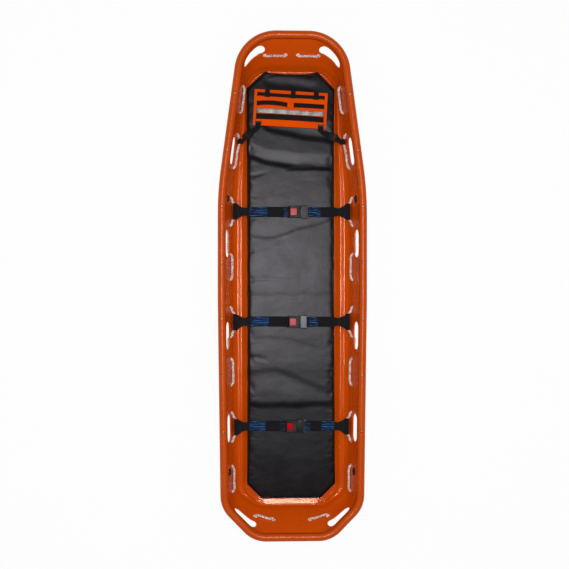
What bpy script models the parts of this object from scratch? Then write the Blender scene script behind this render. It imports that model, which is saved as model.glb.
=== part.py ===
"""Basket stretcher, lying on its runners with the foot end towards +Y.

Units are metres and +Z is up. The origin is on the ground under the middle of the basket.
"""
import math

import bmesh
import bpy
from mathutils import Matrix, Vector

# Overall size
LENGTH = 2.180
WIDTH = 0.638
HEIGHT = 0.190
FIT = 0.0003

# Outline of the lip, on its right half
FOOT_HALF_WIDTH = 0.226
SHOULDER_FROM_FOOT = 0.685
WAIST_FROM_HEAD = 1.030
HEAD_HALF_WIDTH = 0.307
HEAD_CUT_ALONG = 0.144
HEAD_CUT_ACROSS = 0.140
FOOT_RADIUS = 0.180
SHOULDER_RADIUS = 1.500
WAIST_RADIUS = 4.000
HEAD_RADIUS = 0.130

# Shell wall, lip and floor
WALL = 0.004
TUBE_RADIUS = 0.0125
TUBE_WALL = 0.002
LIP_SIDES = 10
LIP_RADIUS = TUBE_RADIUS + (FIT + WALL) / math.cos(math.pi / LIP_SIDES)
LIP_CENTRE_Z = HEIGHT - LIP_RADIUS * math.cos(math.pi / LIP_SIDES)
SKIRT_DROP = 0.016
WALL_TOP_Z = LIP_CENTRE_Z - 0.007
RUNNER_HEIGHT = 0.012
FLOOR_TOP = RUNNER_HEIGHT + WALL
FLOOR_SIDE_INSET = 0.120
FLOOR_FOOT_INSET = 0.030
FLOOR_HEAD_INSET = 0.110
FLOOR_END_INSET = 0.128
FLOOR_HEAD_CUT = 0.055
FLOOR_FOOT_RADIUS = 0.100
FLOOR_HEAD_RADIUS = 0.060
# Height over the floor, then how far in from the lip to the floor's edge, across and along
WALL_STATIONS = (
    (0.030, 0.318, 0.80),
    (0.018, 0.386, 0.88),
    (0.012, 0.500, 0.92),
    (0.000, 1.000, 1.00),
)
RUNNER_WIDTH = 0.022
RUNNER_LENGTH = 1.500
RUNNER_RAMP = 0.040
RUNNER_FLOOR_EDGE = 0.027
RUNNER_INNER_X = 0.062
RUNNER_OUTER_X = WIDTH / 2 - FLOOR_SIDE_INSET - RUNNER_FLOOR_EDGE

# Hand-hold slots
SLOT_LENGTH = 0.120
SLOT_HEIGHT = 0.055
SLOT_TOP_GAP = 0.008
SLOT_Z = WALL_TOP_Z - SLOT_TOP_GAP - SLOT_HEIGHT / 2
SLOT_FIRST_Y = LENGTH / 2 - 0.5084
SLOT_PITCH = 0.398
SIDE_SLOTS = 4
FOOT_CORNER_SLOT = (0.170, LENGTH / 2 - 0.096)
HEAD_CORNER_SLOT = (0.2035, 0.093 - LENGTH / 2)

# Lifting holes
LIFT_FOOT_Y = LENGTH / 2 - 0.714
LIFT_HEAD_Y = 0.288 - LENGTH / 2
LIFT_Z = HEIGHT - 0.062
GROMMET_FIT = 0.0006
GROMMET_BORE = 0.0105
GROMMET_BARREL = 0.0130
GROMMET_FLANGE = 0.0175
GROMMET_FLANGE_THICKNESS = 0.0018

# Rivets through the lip into the tube
RIVET_FIRST_Y = LENGTH / 2 - 0.270
RIVET_PITCH = 0.240
SIDE_RIVETS = 7
RIVET_SHANK = 0.0024
RIVET_HOLE = (RIVET_SHANK + FIT) / math.cos(math.pi / 6)
RIVET_HEAD = 0.0055
RIVET_HEAD_HEIGHT = 0.0020

# Rope woven through the wall
ROPE_RADIUS = 0.0055
ROPE_Z = 0.084
ROPE_END_Z = 0.094
ROPE_HEAD_Z = 0.100
ROPE_SLACK = 0.0055
ROPE_INSIDE = ROPE_RADIUS + ROPE_SLACK
ROPE_OUTSIDE = WALL + ROPE_RADIUS + ROPE_SLACK
ROPE_HOLE = ROPE_RADIUS + 0.0045
ROPE_BEND = 0.013
ROPE_CROSSING = 0.0030
ROPE_CROSSING_OFFSET = 0.009
# How far the middle of each stretch inside the basket lies from the foot end, and its length
ROPE_STRETCHES = (
    (0.278, 0.118),
    (0.503, 0.150),
    (0.766, 0.124),
    (1.007, 0.114),
    (1.247, 0.131),
    (1.464, 0.118),
    (1.704, 0.128),
    (1.930, 0.114),
)
ROPE_HEAD_HOLES = ((0.182, ROPE_Z), (0.078, ROPE_HEAD_Z))
ROPE_FOOT_HOLES = ((0.026, ROPE_END_Z), (0.136, ROPE_END_Z))

# Mattress
PAD_SIDE_GAP = 0.006
PAD_END_GAP = 0.023
PAD_THICKNESS = 0.042
PAD_CORNER = 0.075
PAD_PULL_IN = 0.003
PAD_SIDE_STEPS = 12
PAD_END_STEPS = 6
# How far in from the edge each ring of the crown lies, and how far below the top
PAD_CROWN = (
    (0.000, -0.0120),
    (0.003, -0.0080),
    (0.010, -0.0042),
    (0.025, -0.0015),
    (0.050, -0.0004),
    (0.090, 0.0000),
)
PAD_BOTTOM = FLOOR_TOP + 0.0005
PAD_TOP = PAD_BOTTOM + PAD_THICKNESS

# Restraint straps
LEG_STRAP_Y = LENGTH / 2 - ROPE_STRETCHES[2][0]
HIP_STRAP_Y = LENGTH / 2 - ROPE_STRETCHES[4][0]
CHEST_STRAP_Y = LENGTH / 2 - ROPE_STRETCHES[6][0]
LEG_BUCKLE_X = 0.013
HIP_BUCKLE_X = 0.010
CHEST_BUCKLE_X = -0.002
WEBBING_WIDTH = 0.045
WEBBING_FLARE = 0.078
WEBBING = 0.0020
SEWN_GAP = 0.0003
SEWN_RETURN = 0.055
SEWN_CLOSE = 0.034
STRAP_PAD_EDGE = 0.030
ROPE_PLAY = 0.0013
LEFT_TAIL = 0.036
RIGHT_TAIL = 0.062

# Press-button buckle, measured from the middle of its housing
BUCKLE_LENGTH = 0.056
BUCKLE_SIDE = 0.0032
BUCKLE_WIDTH = WEBBING_WIDTH + 2 * (BUCKLE_SIDE + FIT)
BUCKLE_HEIGHT = 0.022
BUCKLE_LIFT = 0.0010
BUCKLE_NOTCH = 0.0090
BAR_LENGTH = 0.0038
BAR_HEIGHT = 0.0050
BUTTON_START = -0.018
BUTTON_END = 0.010
BUTTON_SIDE = 0.007
BUTTON_WIDTH = BUCKLE_WIDTH - 2 * BUTTON_SIDE
BUTTON_HEIGHT = 0.0062
BUTTON_PROUD = 0.0008
BUTTON_TRAVEL = 0.003
SPRING_THICKNESS = 0.0005
TONGUE_THICKNESS = 0.0025
TONGUE_Z = 0.0095
BLADE_WIDTH = 0.026
BLADE_DEPTH = 0.030
HEAD_START = 0.029
HEAD_END = 0.068
HEAD_SIDE = 0.0062
HEAD_WIDTH = WEBBING_WIDTH + 2 * (HEAD_SIDE + FIT)
HEAD_SLOT = 0.0033
HEAD_BAR = 0.0065
TONGUE_TRAVEL = 0.030

# Footboard, measured from its tilt axis
FOOTBOARD_AXIS_X = -0.009
FOOTBOARD_AXIS_Y = LENGTH / 2 - 0.390
FOOTBOARD_TURN = math.radians(-3.0)
FOOTBOARD_WIDTH = 0.320
FOOTBOARD_LENGTH = 0.152
FOOTBOARD_THICKNESS = 0.006
FOOTBOARD_EDGE = 0.0045
FOOTBOARD_BORDER = 0.0065
FOOTBOARD_BORDER_HEIGHT = 0.0045
FOOTBOARD_CORNER = 0.010
UPPER_BAND_WIDTH = 0.016
MIDDLE_BAND_WIDTH = 0.020
LOWER_BAND_WIDTH = 0.025
BAND = 0.0016
BAND_TAB = 0.011
BAND_SLIT = 0.0042
BAND_PLAY = 0.0025
BAND_REACH = 0.146
BAND_MIDDLE = 0.016
UPPER_BAND_V = 0.132
MIDDLE_BAND_V = 0.092
STRIP_V = 0.062
STRIP_WIDTH = 0.016
LOWER_BAND_V = 0.033
TOP_LOOPS = (("left", -0.104), ("middle", 0.009), ("right", 0.110))
TOP_LOOP_WIDTH = 0.022

# Side straps of the footboard and their clips
SIDE_STRAP_WIDTH = 0.025
SIDE_STRAP = 0.0016
SIDE_STRAP_U = 0.137
SIDE_LOOP_PAD_GAP = 0.0008
SIDE_SLOT = 0.0100
CLIP_WIDTH = 0.032
CLIP_HEIGHT = 0.009
CLIP_MALE = 0.012
CLIP_FEMALE = 0.026
CLIP_PRONG = 0.0165
CLIP_PRONG_THICKNESS = 0.0042
CLIP_BAR = 0.003
CLIP_WINDOW = 0.0055
CLIP_TRAVEL = 0.015
SIDE_ROPE_Y = FOOTBOARD_AXIS_Y - 0.069

# How far round a bar or the rope each straight piece of a webbing loop turns
LOOP_STEP = math.radians(40)


def loop_radius(half_length, half_height, thickness):
    """The middle of webbing that goes round a rectangular bar with a small gap."""
    return (math.hypot(half_length, half_height) + FIT + thickness / 2) / math.cos(LOOP_STEP / 2)


SIDE_LOOP_RADIUS = loop_radius(FOOTBOARD_EDGE, FOOTBOARD_THICKNESS / 2, SIDE_STRAP)
FOOTBOARD_AXIS_Z = PAD_TOP + SIDE_LOOP_PAD_GAP + SIDE_STRAP / 2 + SIDE_LOOP_RADIUS

OUTER_POINTS = (
    (FOOT_HALF_WIDTH, LENGTH / 2),
    (WIDTH / 2, LENGTH / 2 - SHOULDER_FROM_FOOT),
    (WIDTH / 2, WAIST_FROM_HEAD - LENGTH / 2),
    (HEAD_HALF_WIDTH, HEAD_CUT_ALONG - LENGTH / 2),
    (HEAD_HALF_WIDTH - HEAD_CUT_ACROSS, -LENGTH / 2),
)
OUTER_RADII = (FOOT_RADIUS, SHOULDER_RADIUS, WAIST_RADIUS, HEAD_RADIUS, HEAD_RADIUS)
FLOOR_POINTS = (
    (FOOT_HALF_WIDTH - FLOOR_FOOT_INSET, LENGTH / 2 - FLOOR_END_INSET),
    (WIDTH / 2 - FLOOR_SIDE_INSET, LENGTH / 2 - SHOULDER_FROM_FOOT),
    (WIDTH / 2 - FLOOR_SIDE_INSET, WAIST_FROM_HEAD - LENGTH / 2),
    (HEAD_HALF_WIDTH - FLOOR_HEAD_INSET, FLOOR_END_INSET + FLOOR_HEAD_CUT - LENGTH / 2),
    (HEAD_HALF_WIDTH - FLOOR_HEAD_INSET - FLOOR_HEAD_CUT, FLOOR_END_INSET - LENGTH / 2),
)
FLOOR_RADII = (FLOOR_FOOT_RADIUS, SHOULDER_RADIUS, WAIST_RADIUS, FLOOR_HEAD_RADIUS, FLOOR_HEAD_RADIUS)
CORNER_STEPS = (8, 2, 1, 4, 4)

COLOURS = {
    "orange_shell": ((0.78, 0.12, 0.01), 0.35, 0.0),
    "orange_board": ((0.80, 0.14, 0.01), 0.40, 0.0),
    "aluminium": ((0.62, 0.63, 0.65), 0.35, 1.0),
    "dark_steel": ((0.10, 0.10, 0.11), 0.40, 1.0),
    "rope_white": ((0.80, 0.74, 0.72), 0.80, 0.0),
    "black_vinyl": ((0.030, 0.028, 0.030), 0.45, 0.0),
    "black_webbing": ((0.015, 0.016, 0.020), 0.75, 0.0),
    "black_plastic": ((0.020, 0.020, 0.022), 0.40, 0.0),
    "red_button": ((0.75, 0.02, 0.03), 0.35, 0.0),
    "bright_steel": ((0.70, 0.70, 0.71), 0.25, 1.0),
    "reflective": ((0.55, 0.57, 0.56), 0.40, 0.2),
}


def remove_scene_objects():
    for old in list(bpy.data.objects):
        bpy.data.objects.remove(old, do_unlink=True)


def material(name):
    found = bpy.data.materials.get(name)
    if found:
        return found
    colour, roughness, metallic = COLOURS[name]
    made = bpy.data.materials.new(name)
    made.use_nodes = True
    shader = made.node_tree.nodes["Principled BSDF"]
    shader.inputs["Base Color"].default_value = (*colour, 1.0)
    shader.inputs["Roughness"].default_value = roughness
    shader.inputs["Metallic"].default_value = metallic
    return made


def new_object(name, bm, finish, parent=None, smooth=False):
    """Turn a bmesh, given in its parent's coordinates, into a named object."""
    bmesh.ops.recalc_face_normals(bm, faces=bm.faces)
    mesh = bpy.data.meshes.new(name)
    bm.to_mesh(mesh)
    bm.free()
    if smooth:
        mesh.shade_smooth()
        mesh.set_sharp_from_angle(angle=math.radians(40))
    made = bpy.data.objects.new(name, mesh)
    made.data.materials.append(material(finish))
    bpy.context.scene.collection.objects.link(made)
    made.parent = parent
    return made


def new_empty(name, location, turn=0.0, pitch=0.0):
    made = bpy.data.objects.new(name, None)
    made.location = location
    made.rotation_euler = (0.0, pitch, turn)
    bpy.context.scene.collection.objects.link(made)
    return made


def use_boolean(target, other, operation, crossing=False):
    """Cut or join another closed object; crossing says that its own pieces run into each other."""
    other.hide_render = True
    other.display_type = "WIRE"
    step = target.modifiers.new(other.name, "BOOLEAN")
    step.operation = operation
    step.solver = "EXACT"
    step.use_self = crossing
    step.object = other


def add_prism(bm, outline, place, depth):
    """Extrude a flat outline by depth, centred on the XY plane of the matrix place."""
    rings = []
    for height in (-depth / 2, depth / 2):
        rings.append([bm.verts.new(place @ Vector((x, y, height))) for x, y in outline])
    count = len(outline)
    bm.faces.new(rings[0])
    bm.faces.new(rings[1])
    for i in range(count):
        j = (i + 1) % count
        bm.faces.new((rings[0][i], rings[0][j], rings[1][j], rings[1][i]))


def add_box(bm, low, high):
    place = Matrix.Translation((0.0, 0.0, (low[2] + high[2]) / 2))
    outline = ((low[0], low[1]), (high[0], low[1]), (high[0], high[1]), (low[0], high[1]))
    add_prism(bm, outline, place, high[2] - low[2])


def add_loft(bm, rings, cyclic=False):
    """Join rings of equal count with faces, and close both ends unless it runs in a circle."""
    made = [[bm.verts.new(point) for point in ring] for ring in rings]
    count = len(made[0])
    last = len(made) if cyclic else len(made) - 1
    for k in range(last):
        one = made[k]
        two = made[(k + 1) % len(made)]
        for i in range(count):
            j = (i + 1) % count
            bm.faces.new((one[i], one[j], two[j], two[i]))
    if not cyclic:
        bm.faces.new(made[0])
        bm.faces.new(made[-1])


def circle(radius, sides, phase=0.0):
    angles = [phase + 2 * math.pi * k / sides for k in range(sides)]
    return [(radius * math.cos(angle), radius * math.sin(angle)) for angle in angles]


def stadium(length, height, steps=5):
    """A slot outline, its long way along the first axis."""
    radius = height / 2
    reach = length / 2 - radius
    points = []
    for side, start in ((1, -math.pi / 2), (-1, math.pi / 2)):
        for k in range(steps + 1):
            angle = start + math.pi * k / steps
            points.append((side * reach + radius * math.cos(angle), radius * math.sin(angle)))
    return points


def rounded_rectangle(low, high, radius, steps=3):
    points = []
    corners = (high, (low[0], high[1]), low, (high[0], low[1]))
    for turn, (x, y) in zip((0.0, 0.5, 1.0, 1.5), corners):
        centre_x = x - math.copysign(radius, x - (low[0] + high[0]) / 2)
        centre_y = y - math.copysign(radius, y - (low[1] + high[1]) / 2)
        for k in range(steps + 1):
            angle = math.pi * (turn + 0.5 * k / steps)
            points.append((centre_x + radius * math.cos(angle), centre_y + radius * math.sin(angle)))
    return points


def corner_arc(before, corner, after, radius, steps):
    one = (before - corner).normalized()
    two = (after - corner).normalized()
    half = one.angle(two) / 2
    start = one * (radius / math.tan(half))
    end = two * (radius / math.tan(half))
    centre = (one + two).normalized() * (radius / math.sin(half))
    points = []
    turn = (start - centre).angle(end - centre)
    for k in range(steps + 1):
        share = k / steps
        first = math.sin((1 - share) * turn)
        second = math.sin(share * turn)
        arm = ((start - centre) * first + (end - centre) * second) / math.sin(turn)
        points.append(corner + centre + arm)
    return points


def full_outline(points, radii):
    """Round the corners of a right-half outline and mirror it into a closed ring."""
    right = [Vector(point) for point in points]
    left = [Vector((-x, y)) for x, y in reversed(points)]
    corners = right + left
    bends = list(radii) + list(reversed(radii))
    steps = list(CORNER_STEPS) + list(reversed(CORNER_STEPS))
    ring = []
    for i, corner in enumerate(corners):
        after = corners[(i + 1) % len(corners)]
        ring.extend(corner_arc(corners[i - 1], corner, after, bends[i], steps[i]))
    return ring


def inset_points(points, distance):
    """Move every edge of the right-half outline in by the same distance."""
    right = [Vector(point) for point in points]
    corners = [Vector((-right[0].x, right[0].y))] + right + [Vector((-right[-1].x, right[-1].y))]
    moved = []
    for before, corner, after in zip(corners, corners[1:], corners[2:]):
        one = (before - corner).normalized()
        two = (after - corner).normalized()
        half = one.angle(two) / 2
        moved.append(tuple(corner + (one + two).normalized() * (distance / math.sin(half))))
    return moved


def lip_ring(inset):
    radii = [radius - inset for radius in OUTER_RADII]
    return full_outline(inset_points(OUTER_POINTS, inset), radii)


def wall_shares(z):
    """How far across and along the wall has come in at height z."""
    stations = [(WALL_TOP_Z, 0.0, 0.0)]
    stations += [(FLOOR_TOP + rise, across, along) for rise, across, along in WALL_STATIONS]
    for high, low in zip(stations, stations[1:]):
        if z >= low[0]:
            share = (high[0] - z) / (high[0] - low[0])
            return tuple(high[k] + (low[k] - high[k]) * share for k in (1, 2))
    return 1.0, 1.0


def wall_ring(z):
    """The inner face of the wall at height z."""
    across, along = wall_shares(z)
    top = inset_points(OUTER_POINTS, 2 * LIP_RADIUS)
    points = []
    radii = []
    for k, (low, high) in enumerate(zip(FLOOR_POINTS, top)):
        x = high[0] + (low[0] - high[0]) * across
        y = high[1] + (low[1] - high[1]) * along
        start = OUTER_RADII[k] - 2 * LIP_RADIUS
        points.append((x, y))
        radii.append(start + (FLOOR_RADII[k] - start) * (across + along) / 2)
    return full_outline(points, radii)


def wall_spot(z, target):
    """The nearest place on the wall to target: its point, its inward normal and its way along."""
    ring = wall_ring(z)
    best = None
    for one, two in zip(ring, ring[1:] + ring[:1]):
        span = two - one
        share = max(0.0, min(1.0, (Vector(target) - one).dot(span) / span.length_squared))
        point = one + span * share
        gap = (Vector(target) - point).length
        if best is None or gap < best[0]:
            along = span.normalized()
            best = (gap, point, Vector((along.y, -along.x)), along)
    return best[1:]


def wall_place(z, target, tilted=False):
    """A frame on the middle of the wall: X along it, Z into the basket."""
    point, inward, along = wall_spot(z, target)
    inward = Vector((inward.x, inward.y, 0.0))
    along = Vector((along.x, along.y, 0.0))
    out = inward
    if tilted:
        lower = wall_spot(z - 0.02, target)[0] - point
        slope = lower.dot(Vector((inward.x, inward.y))) / 0.02
        out = (inward + Vector((0.0, 0.0, slope))).normalized()
    up = out.cross(along)
    centre = Vector((point.x, point.y, z)) - out * (WALL / 2)
    turn = Matrix((along, up, out)).transposed().to_4x4()
    return Matrix.Translation(centre) @ turn


def both_sides(places):
    return [(side * x, y) for x, y in places for side in (1, -1)]


def side_spot(ring, y):
    """Where the right-hand side of a ring lies at y."""
    for one, two in zip(ring, ring[1:]):
        if one.x > 0 and two.x > 0 and two.y <= y <= one.y and one.y != two.y:
            return tuple(one.lerp(two, (one.y - y) / (one.y - two.y)))
    return WIDTH / 2, y


def slot_targets():
    ring = wall_ring(SLOT_Z)
    sides = [side_spot(ring, SLOT_FIRST_Y - SLOT_PITCH * k) for k in range(SIDE_SLOTS)]
    return both_sides(sides + [FOOT_CORNER_SLOT, HEAD_CORNER_SLOT])


def lift_targets():
    ring = wall_ring(LIFT_Z)
    return both_sides([side_spot(ring, LIFT_FOOT_Y), side_spot(ring, LIFT_HEAD_Y)])


def rivet_places(side):
    """Where the rivets stand on the crest of the lip, foot to head."""
    ring = lip_ring(LIP_RADIUS)
    spots = [side_spot(ring, RIVET_FIRST_Y - RIVET_PITCH * k) for k in range(SIDE_RIVETS)]
    return [Vector((side * x, y)) for x, y in spots]


def skin_rings():
    """Rings of the shell's upper skin, from the skirt over the lip and down to the floor."""
    rings = [(lip_ring(0.0), LIP_CENTRE_Z - SKIRT_DROP)]
    for k in range(LIP_SIDES // 2 + 1):
        angle = math.pi - 2 * math.pi * k / LIP_SIDES
        inset = LIP_RADIUS * (1 + math.cos(angle))
        rings.append((lip_ring(inset), LIP_CENTRE_Z + LIP_RADIUS * math.sin(angle)))
    heights = [WALL_TOP_Z] + [FLOOR_TOP + station[0] for station in WALL_STATIONS]
    for z in heights:
        rings.append((wall_ring(z), z))
    return rings


def make_shell_cutter():
    bm = bmesh.new()
    slot = stadium(SLOT_LENGTH, SLOT_HEIGHT)
    for target in slot_targets():
        add_prism(bm, slot, wall_place(SLOT_Z, target), 0.080)
    for hole in rope_holes():
        place = wall_place(hole[2], hole[:2])
        add_prism(bm, circle(ROPE_HOLE, 6), place, 0.040)
    for target in lift_targets():
        place = wall_place(LIFT_Z, target, tilted=True)
        add_prism(bm, circle(GROMMET_BARREL + FIT, 12), place, 0.020)
    for side in (1, -1):
        for spot in rivet_places(side):
            add_prism(bm, circle(RIVET_HOLE, 6), Matrix.Translation((spot.x, spot.y, HEIGHT)), 0.014)
    return new_object("shell_cutter", bm, "orange_shell")


def make_runners():
    """Four skid ridges under the floor, ramped at both ends."""
    bm = bmesh.new()
    top = RUNNER_HEIGHT + WALL / 2
    half = RUNNER_LENGTH / 2
    outline = ((-half, top), (-half + RUNNER_RAMP, 0.0), (half - RUNNER_RAMP, 0.0), (half, top))
    upright = Matrix(((0, 0, 1), (1, 0, 0), (0, 1, 0))).to_4x4()
    for x in (-RUNNER_OUTER_X, -RUNNER_INNER_X, RUNNER_INNER_X, RUNNER_OUTER_X):
        add_prism(bm, outline, Matrix.Translation((x, 0.0, 0.0)) @ upright, RUNNER_WIDTH)
    return new_object("runner_ridges", bm, "orange_shell")


def make_shell():
    bm = bmesh.new()
    rings = []
    for ring, z in skin_rings():
        rings.append([bm.verts.new((point.x, point.y, z)) for point in ring])
    for upper, lower in zip(rings, rings[1:]):
        for i in range(len(upper)):
            j = (i + 1) % len(upper)
            bm.faces.new((upper[i], upper[j], lower[j], lower[i]))
    bm.faces.new(rings[-1])
    bmesh.ops.recalc_face_normals(bm, faces=bm.faces)
    bm.faces.ensure_lookup_table()
    if bm.faces[-1].normal.z < 0:
        bmesh.ops.reverse_faces(bm, faces=bm.faces)
    mesh = bpy.data.meshes.new("shell")
    bm.to_mesh(mesh)
    bm.free()
    shell = bpy.data.objects.new("shell", mesh)
    shell.data.materials.append(material("orange_shell"))
    bpy.context.scene.collection.objects.link(shell)
    thicken = shell.modifiers.new("wall", "SOLIDIFY")
    thicken.thickness = WALL
    thicken.offset = -1.0
    thicken.use_even_offset = True
    use_boolean(shell, make_runners(), "UNION")
    use_boolean(shell, make_shell_cutter(), "DIFFERENCE")


def sweep(points, sections):
    """Rings of the given flat sections carried along points, mitred at each bend."""
    rings = []
    last = len(points) - 1
    for k, point in enumerate(points):
        before = (point - points[max(k - 1, 0)]).normalized()
        after = (points[min(k + 1, last)] - point).normalized()
        along = (before + after).normalized()
        side = along.cross(Vector((0.0, 0.0, 1.0))).normalized()
        up = side.cross(along)
        stretch = 1.0 / max(0.5, along.dot(after if k < last else before))
        rings.append([point + side * (a * stretch) + up * b for a, b in sections])
    return rings


def half_lip_line(side):
    """The tube's centre line on one side, from the foot end's middle to the head end's."""
    ring = lip_ring(LIP_RADIUS)
    line = [point for point in ring if point.x * side > 0]
    line.sort(key=lambda point: (-point.y, abs(point.x) if point.y > 0 else -abs(point.x)))
    start = Vector((side * FIT / 2, line[0].y))
    end = Vector((side * FIT / 2, line[-1].y))
    return [Vector((p.x, p.y, LIP_CENTRE_Z)) for p in [start] + line + [end]]


def make_frame_tube(name, side):
    line = half_lip_line(side)
    phase = 0.0
    outer = sweep(line, circle(TUBE_RADIUS, LIP_SIDES, phase))
    inner = sweep(line, circle(TUBE_RADIUS - TUBE_WALL, LIP_SIDES, phase))
    bm = bmesh.new()
    add_loft(bm, outer + inner[::-1], cyclic=True)
    tube = new_object(name, bm, "aluminium", smooth=True)
    holes = bmesh.new()
    for spot in rivet_places(side):
        place = Matrix.Translation((spot.x, spot.y, LIP_CENTRE_Z + TUBE_RADIUS))
        add_prism(holes, circle(RIVET_HOLE, 6), place, 0.012)
    use_boolean(tube, new_object(name + "_cutter", holes, "aluminium"), "DIFFERENCE")


def make_spigot(name, end):
    y = end * (LENGTH / 2 - LIP_RADIUS)
    line = [Vector((x, y, LIP_CENTRE_Z)) for x in (-0.040, 0.040)]
    outer = sweep(line, circle(TUBE_RADIUS - TUBE_WALL - FIT, LIP_SIDES))
    inner = sweep(line, circle(TUBE_RADIUS - 2 * TUBE_WALL, LIP_SIDES))
    bm = bmesh.new()
    add_loft(bm, outer + inner[::-1], cyclic=True)
    new_object(name, bm, "aluminium", smooth=True)


def make_rivet(name, spot):
    """A blind rivet: a domed head on the lip and a shank down into the tube's bore."""
    bm = bmesh.new()
    seat = HEIGHT + FIT
    foot = LIP_CENTRE_Z + TUBE_RADIUS - TUBE_WALL - 0.002
    profile = (
        (RIVET_SHANK, foot),
        (RIVET_SHANK, seat),
        (RIVET_HEAD, seat),
        (RIVET_HEAD * 0.8, seat + RIVET_HEAD_HEIGHT * 0.7),
        (RIVET_HEAD * 0.4, seat + RIVET_HEAD_HEIGHT),
    )
    rings = [[(spot.x + x, spot.y + y, z) for x, y in circle(radius, 8)] for radius, z in profile]
    add_loft(bm, rings)
    new_object(name, bm, "aluminium")


def make_grommet(name, target):
    """An eyelet: a barrel through the wall with a flange on each face."""
    place = wall_place(LIFT_Z, target, tilted=True)
    seat = WALL / 2 + GROMMET_FIT
    face = seat + GROMMET_FLANGE_THICKNESS
    profile = (
        (GROMMET_BORE, -face),
        (GROMMET_FLANGE, -face),
        (GROMMET_FLANGE, -seat),
        (GROMMET_BARREL, -seat),
        (GROMMET_BARREL, seat),
        (GROMMET_FLANGE, seat),
        (GROMMET_FLANGE, face),
        (GROMMET_BORE, face),
    )
    rings = [[place @ Vector((x, y, z)) for x, y in circle(radius, 12)] for radius, z in profile]
    bm = bmesh.new()
    add_loft(bm, rings, cyclic=True)
    new_object(name, bm, "dark_steel", smooth=True)


def rope_holes():
    """Every rope hole in order round the basket, from the middle of the foot end clockwise."""
    ring = wall_ring(ROPE_Z)
    side = []
    for from_foot, stretch in ROPE_STRETCHES:
        for reach in (stretch / 2, -stretch / 2):
            spot = side_spot(ring, LENGTH / 2 - from_foot + reach)
            side.append((*spot, ROPE_Z))
    foot = [(x, LENGTH / 2, z) for x, z in ROPE_FOOT_HOLES]
    head = [(x, -LENGTH / 2, z) for x, z in ROPE_HEAD_HOLES]
    right = foot + side + head
    left = [(-x, y, z) for x, y, z in reversed(right)]
    return right + left


def ring_lengths(ring):
    total = 0.0
    lengths = [0.0]
    for one, two in zip(ring, ring[1:] + ring[:1]):
        total += (two - one).length
        lengths.append(total)
    return lengths


def ring_distance(ring, lengths, target):
    best = None
    for k, (one, two) in enumerate(zip(ring, ring[1:] + ring[:1])):
        span = two - one
        share = max(0.0, min(1.0, (Vector(target) - one).dot(span) / span.length_squared))
        gap = (Vector(target) - one - span * share).length
        if best is None or gap < best[0]:
            best = (gap, lengths[k] + span.length * share)
    return best[1]


def ring_point(ring, lengths, distance):
    distance %= lengths[-1]
    for k, (one, two) in enumerate(zip(ring, ring[1:] + ring[:1])):
        if distance <= lengths[k + 1]:
            return one.lerp(two, (distance - lengths[k]) / (lengths[k + 1] - lengths[k]))
    return ring[0]


def rope_point(ring, lengths, distance, offset, z):
    """A point of the rope, offset inwards from the wall's inner face at height z."""
    spot, inward, _ = wall_spot(z, ring_point(ring, lengths, distance))
    place = spot + inward * offset
    return Vector((place.x, place.y, z))


def rope_bends(lengths, start, end):
    """Where the wall bends between two distances round the basket."""
    total = lengths[-1]
    spots = [distance + turn * total for turn in (0, 1) for distance in lengths[:-1]]
    return [spot for spot in spots if start < spot < end]


def rope_line():
    """The rope's centre line: in and out through every hole, and along the wall between them."""
    ring = wall_ring(ROPE_Z)
    lengths = ring_lengths(ring)
    holes = rope_holes()
    distances = []
    for x, y, z in holes:
        spot = wall_spot(z, (x, y))[0]
        distances.append(ring_distance(ring, lengths, spot))
    near = ROPE_CROSSING_OFFSET - WALL / 2
    far = -ROPE_CROSSING_OFFSET - WALL / 2
    shifts = (-ROPE_BEND, -ROPE_CROSSING, ROPE_CROSSING, ROPE_BEND)
    points = []
    for k, hole in enumerate(holes):
        here = distances[k]
        if k % 2:
            offsets = (ROPE_INSIDE, near, far, -ROPE_OUTSIDE)
        else:
            offsets = (-ROPE_OUTSIDE, far, near, ROPE_INSIDE)
        for shift, offset in zip(shifts, offsets):
            points.append(rope_point(ring, lengths, here + shift, offset, hole[2]))
        following = distances[(k + 1) % len(holes)]
        if following < here:
            following += lengths[-1]
        start = here + ROPE_BEND
        end = following - ROPE_BEND
        next_z = holes[(k + 1) % len(holes)][2]
        for spot in rope_bends(lengths, start + ROPE_RADIUS, end - ROPE_RADIUS):
            z = hole[2] + (next_z - hole[2]) * (spot - start) / (end - start)
            points.append(rope_point(ring, lengths, spot, offsets[-1], z))
    return points


def make_rope():
    points = rope_line()
    curve = bpy.data.curves.new("perimeter_rope", "CURVE")
    curve.dimensions = "3D"
    curve.bevel_depth = ROPE_RADIUS
    curve.bevel_resolution = 1
    spline = curve.splines.new("POLY")
    spline.points.add(len(points) - 1)
    for target, point in zip(spline.points, points):
        target.co = (*point, 1.0)
    spline.use_cyclic_u = True
    rope = bpy.data.objects.new("perimeter_rope", curve)
    rope.data.materials.append(material("rope_white"))
    bpy.context.scene.collection.objects.link(rope)


def pad_half_size():
    """Half the mattress's width and length: it fits the floor where the floor is narrowest."""
    floor = wall_ring(FLOOR_TOP)
    half_y = FLOOR_POINTS[0][1] - PAD_END_GAP
    corner_y = half_y - PAD_CORNER
    narrowest = min(side_spot(floor, y)[0] for y in (corner_y, 0.0, -corner_y))
    return narrowest - PAD_SIDE_GAP, half_y


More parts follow.
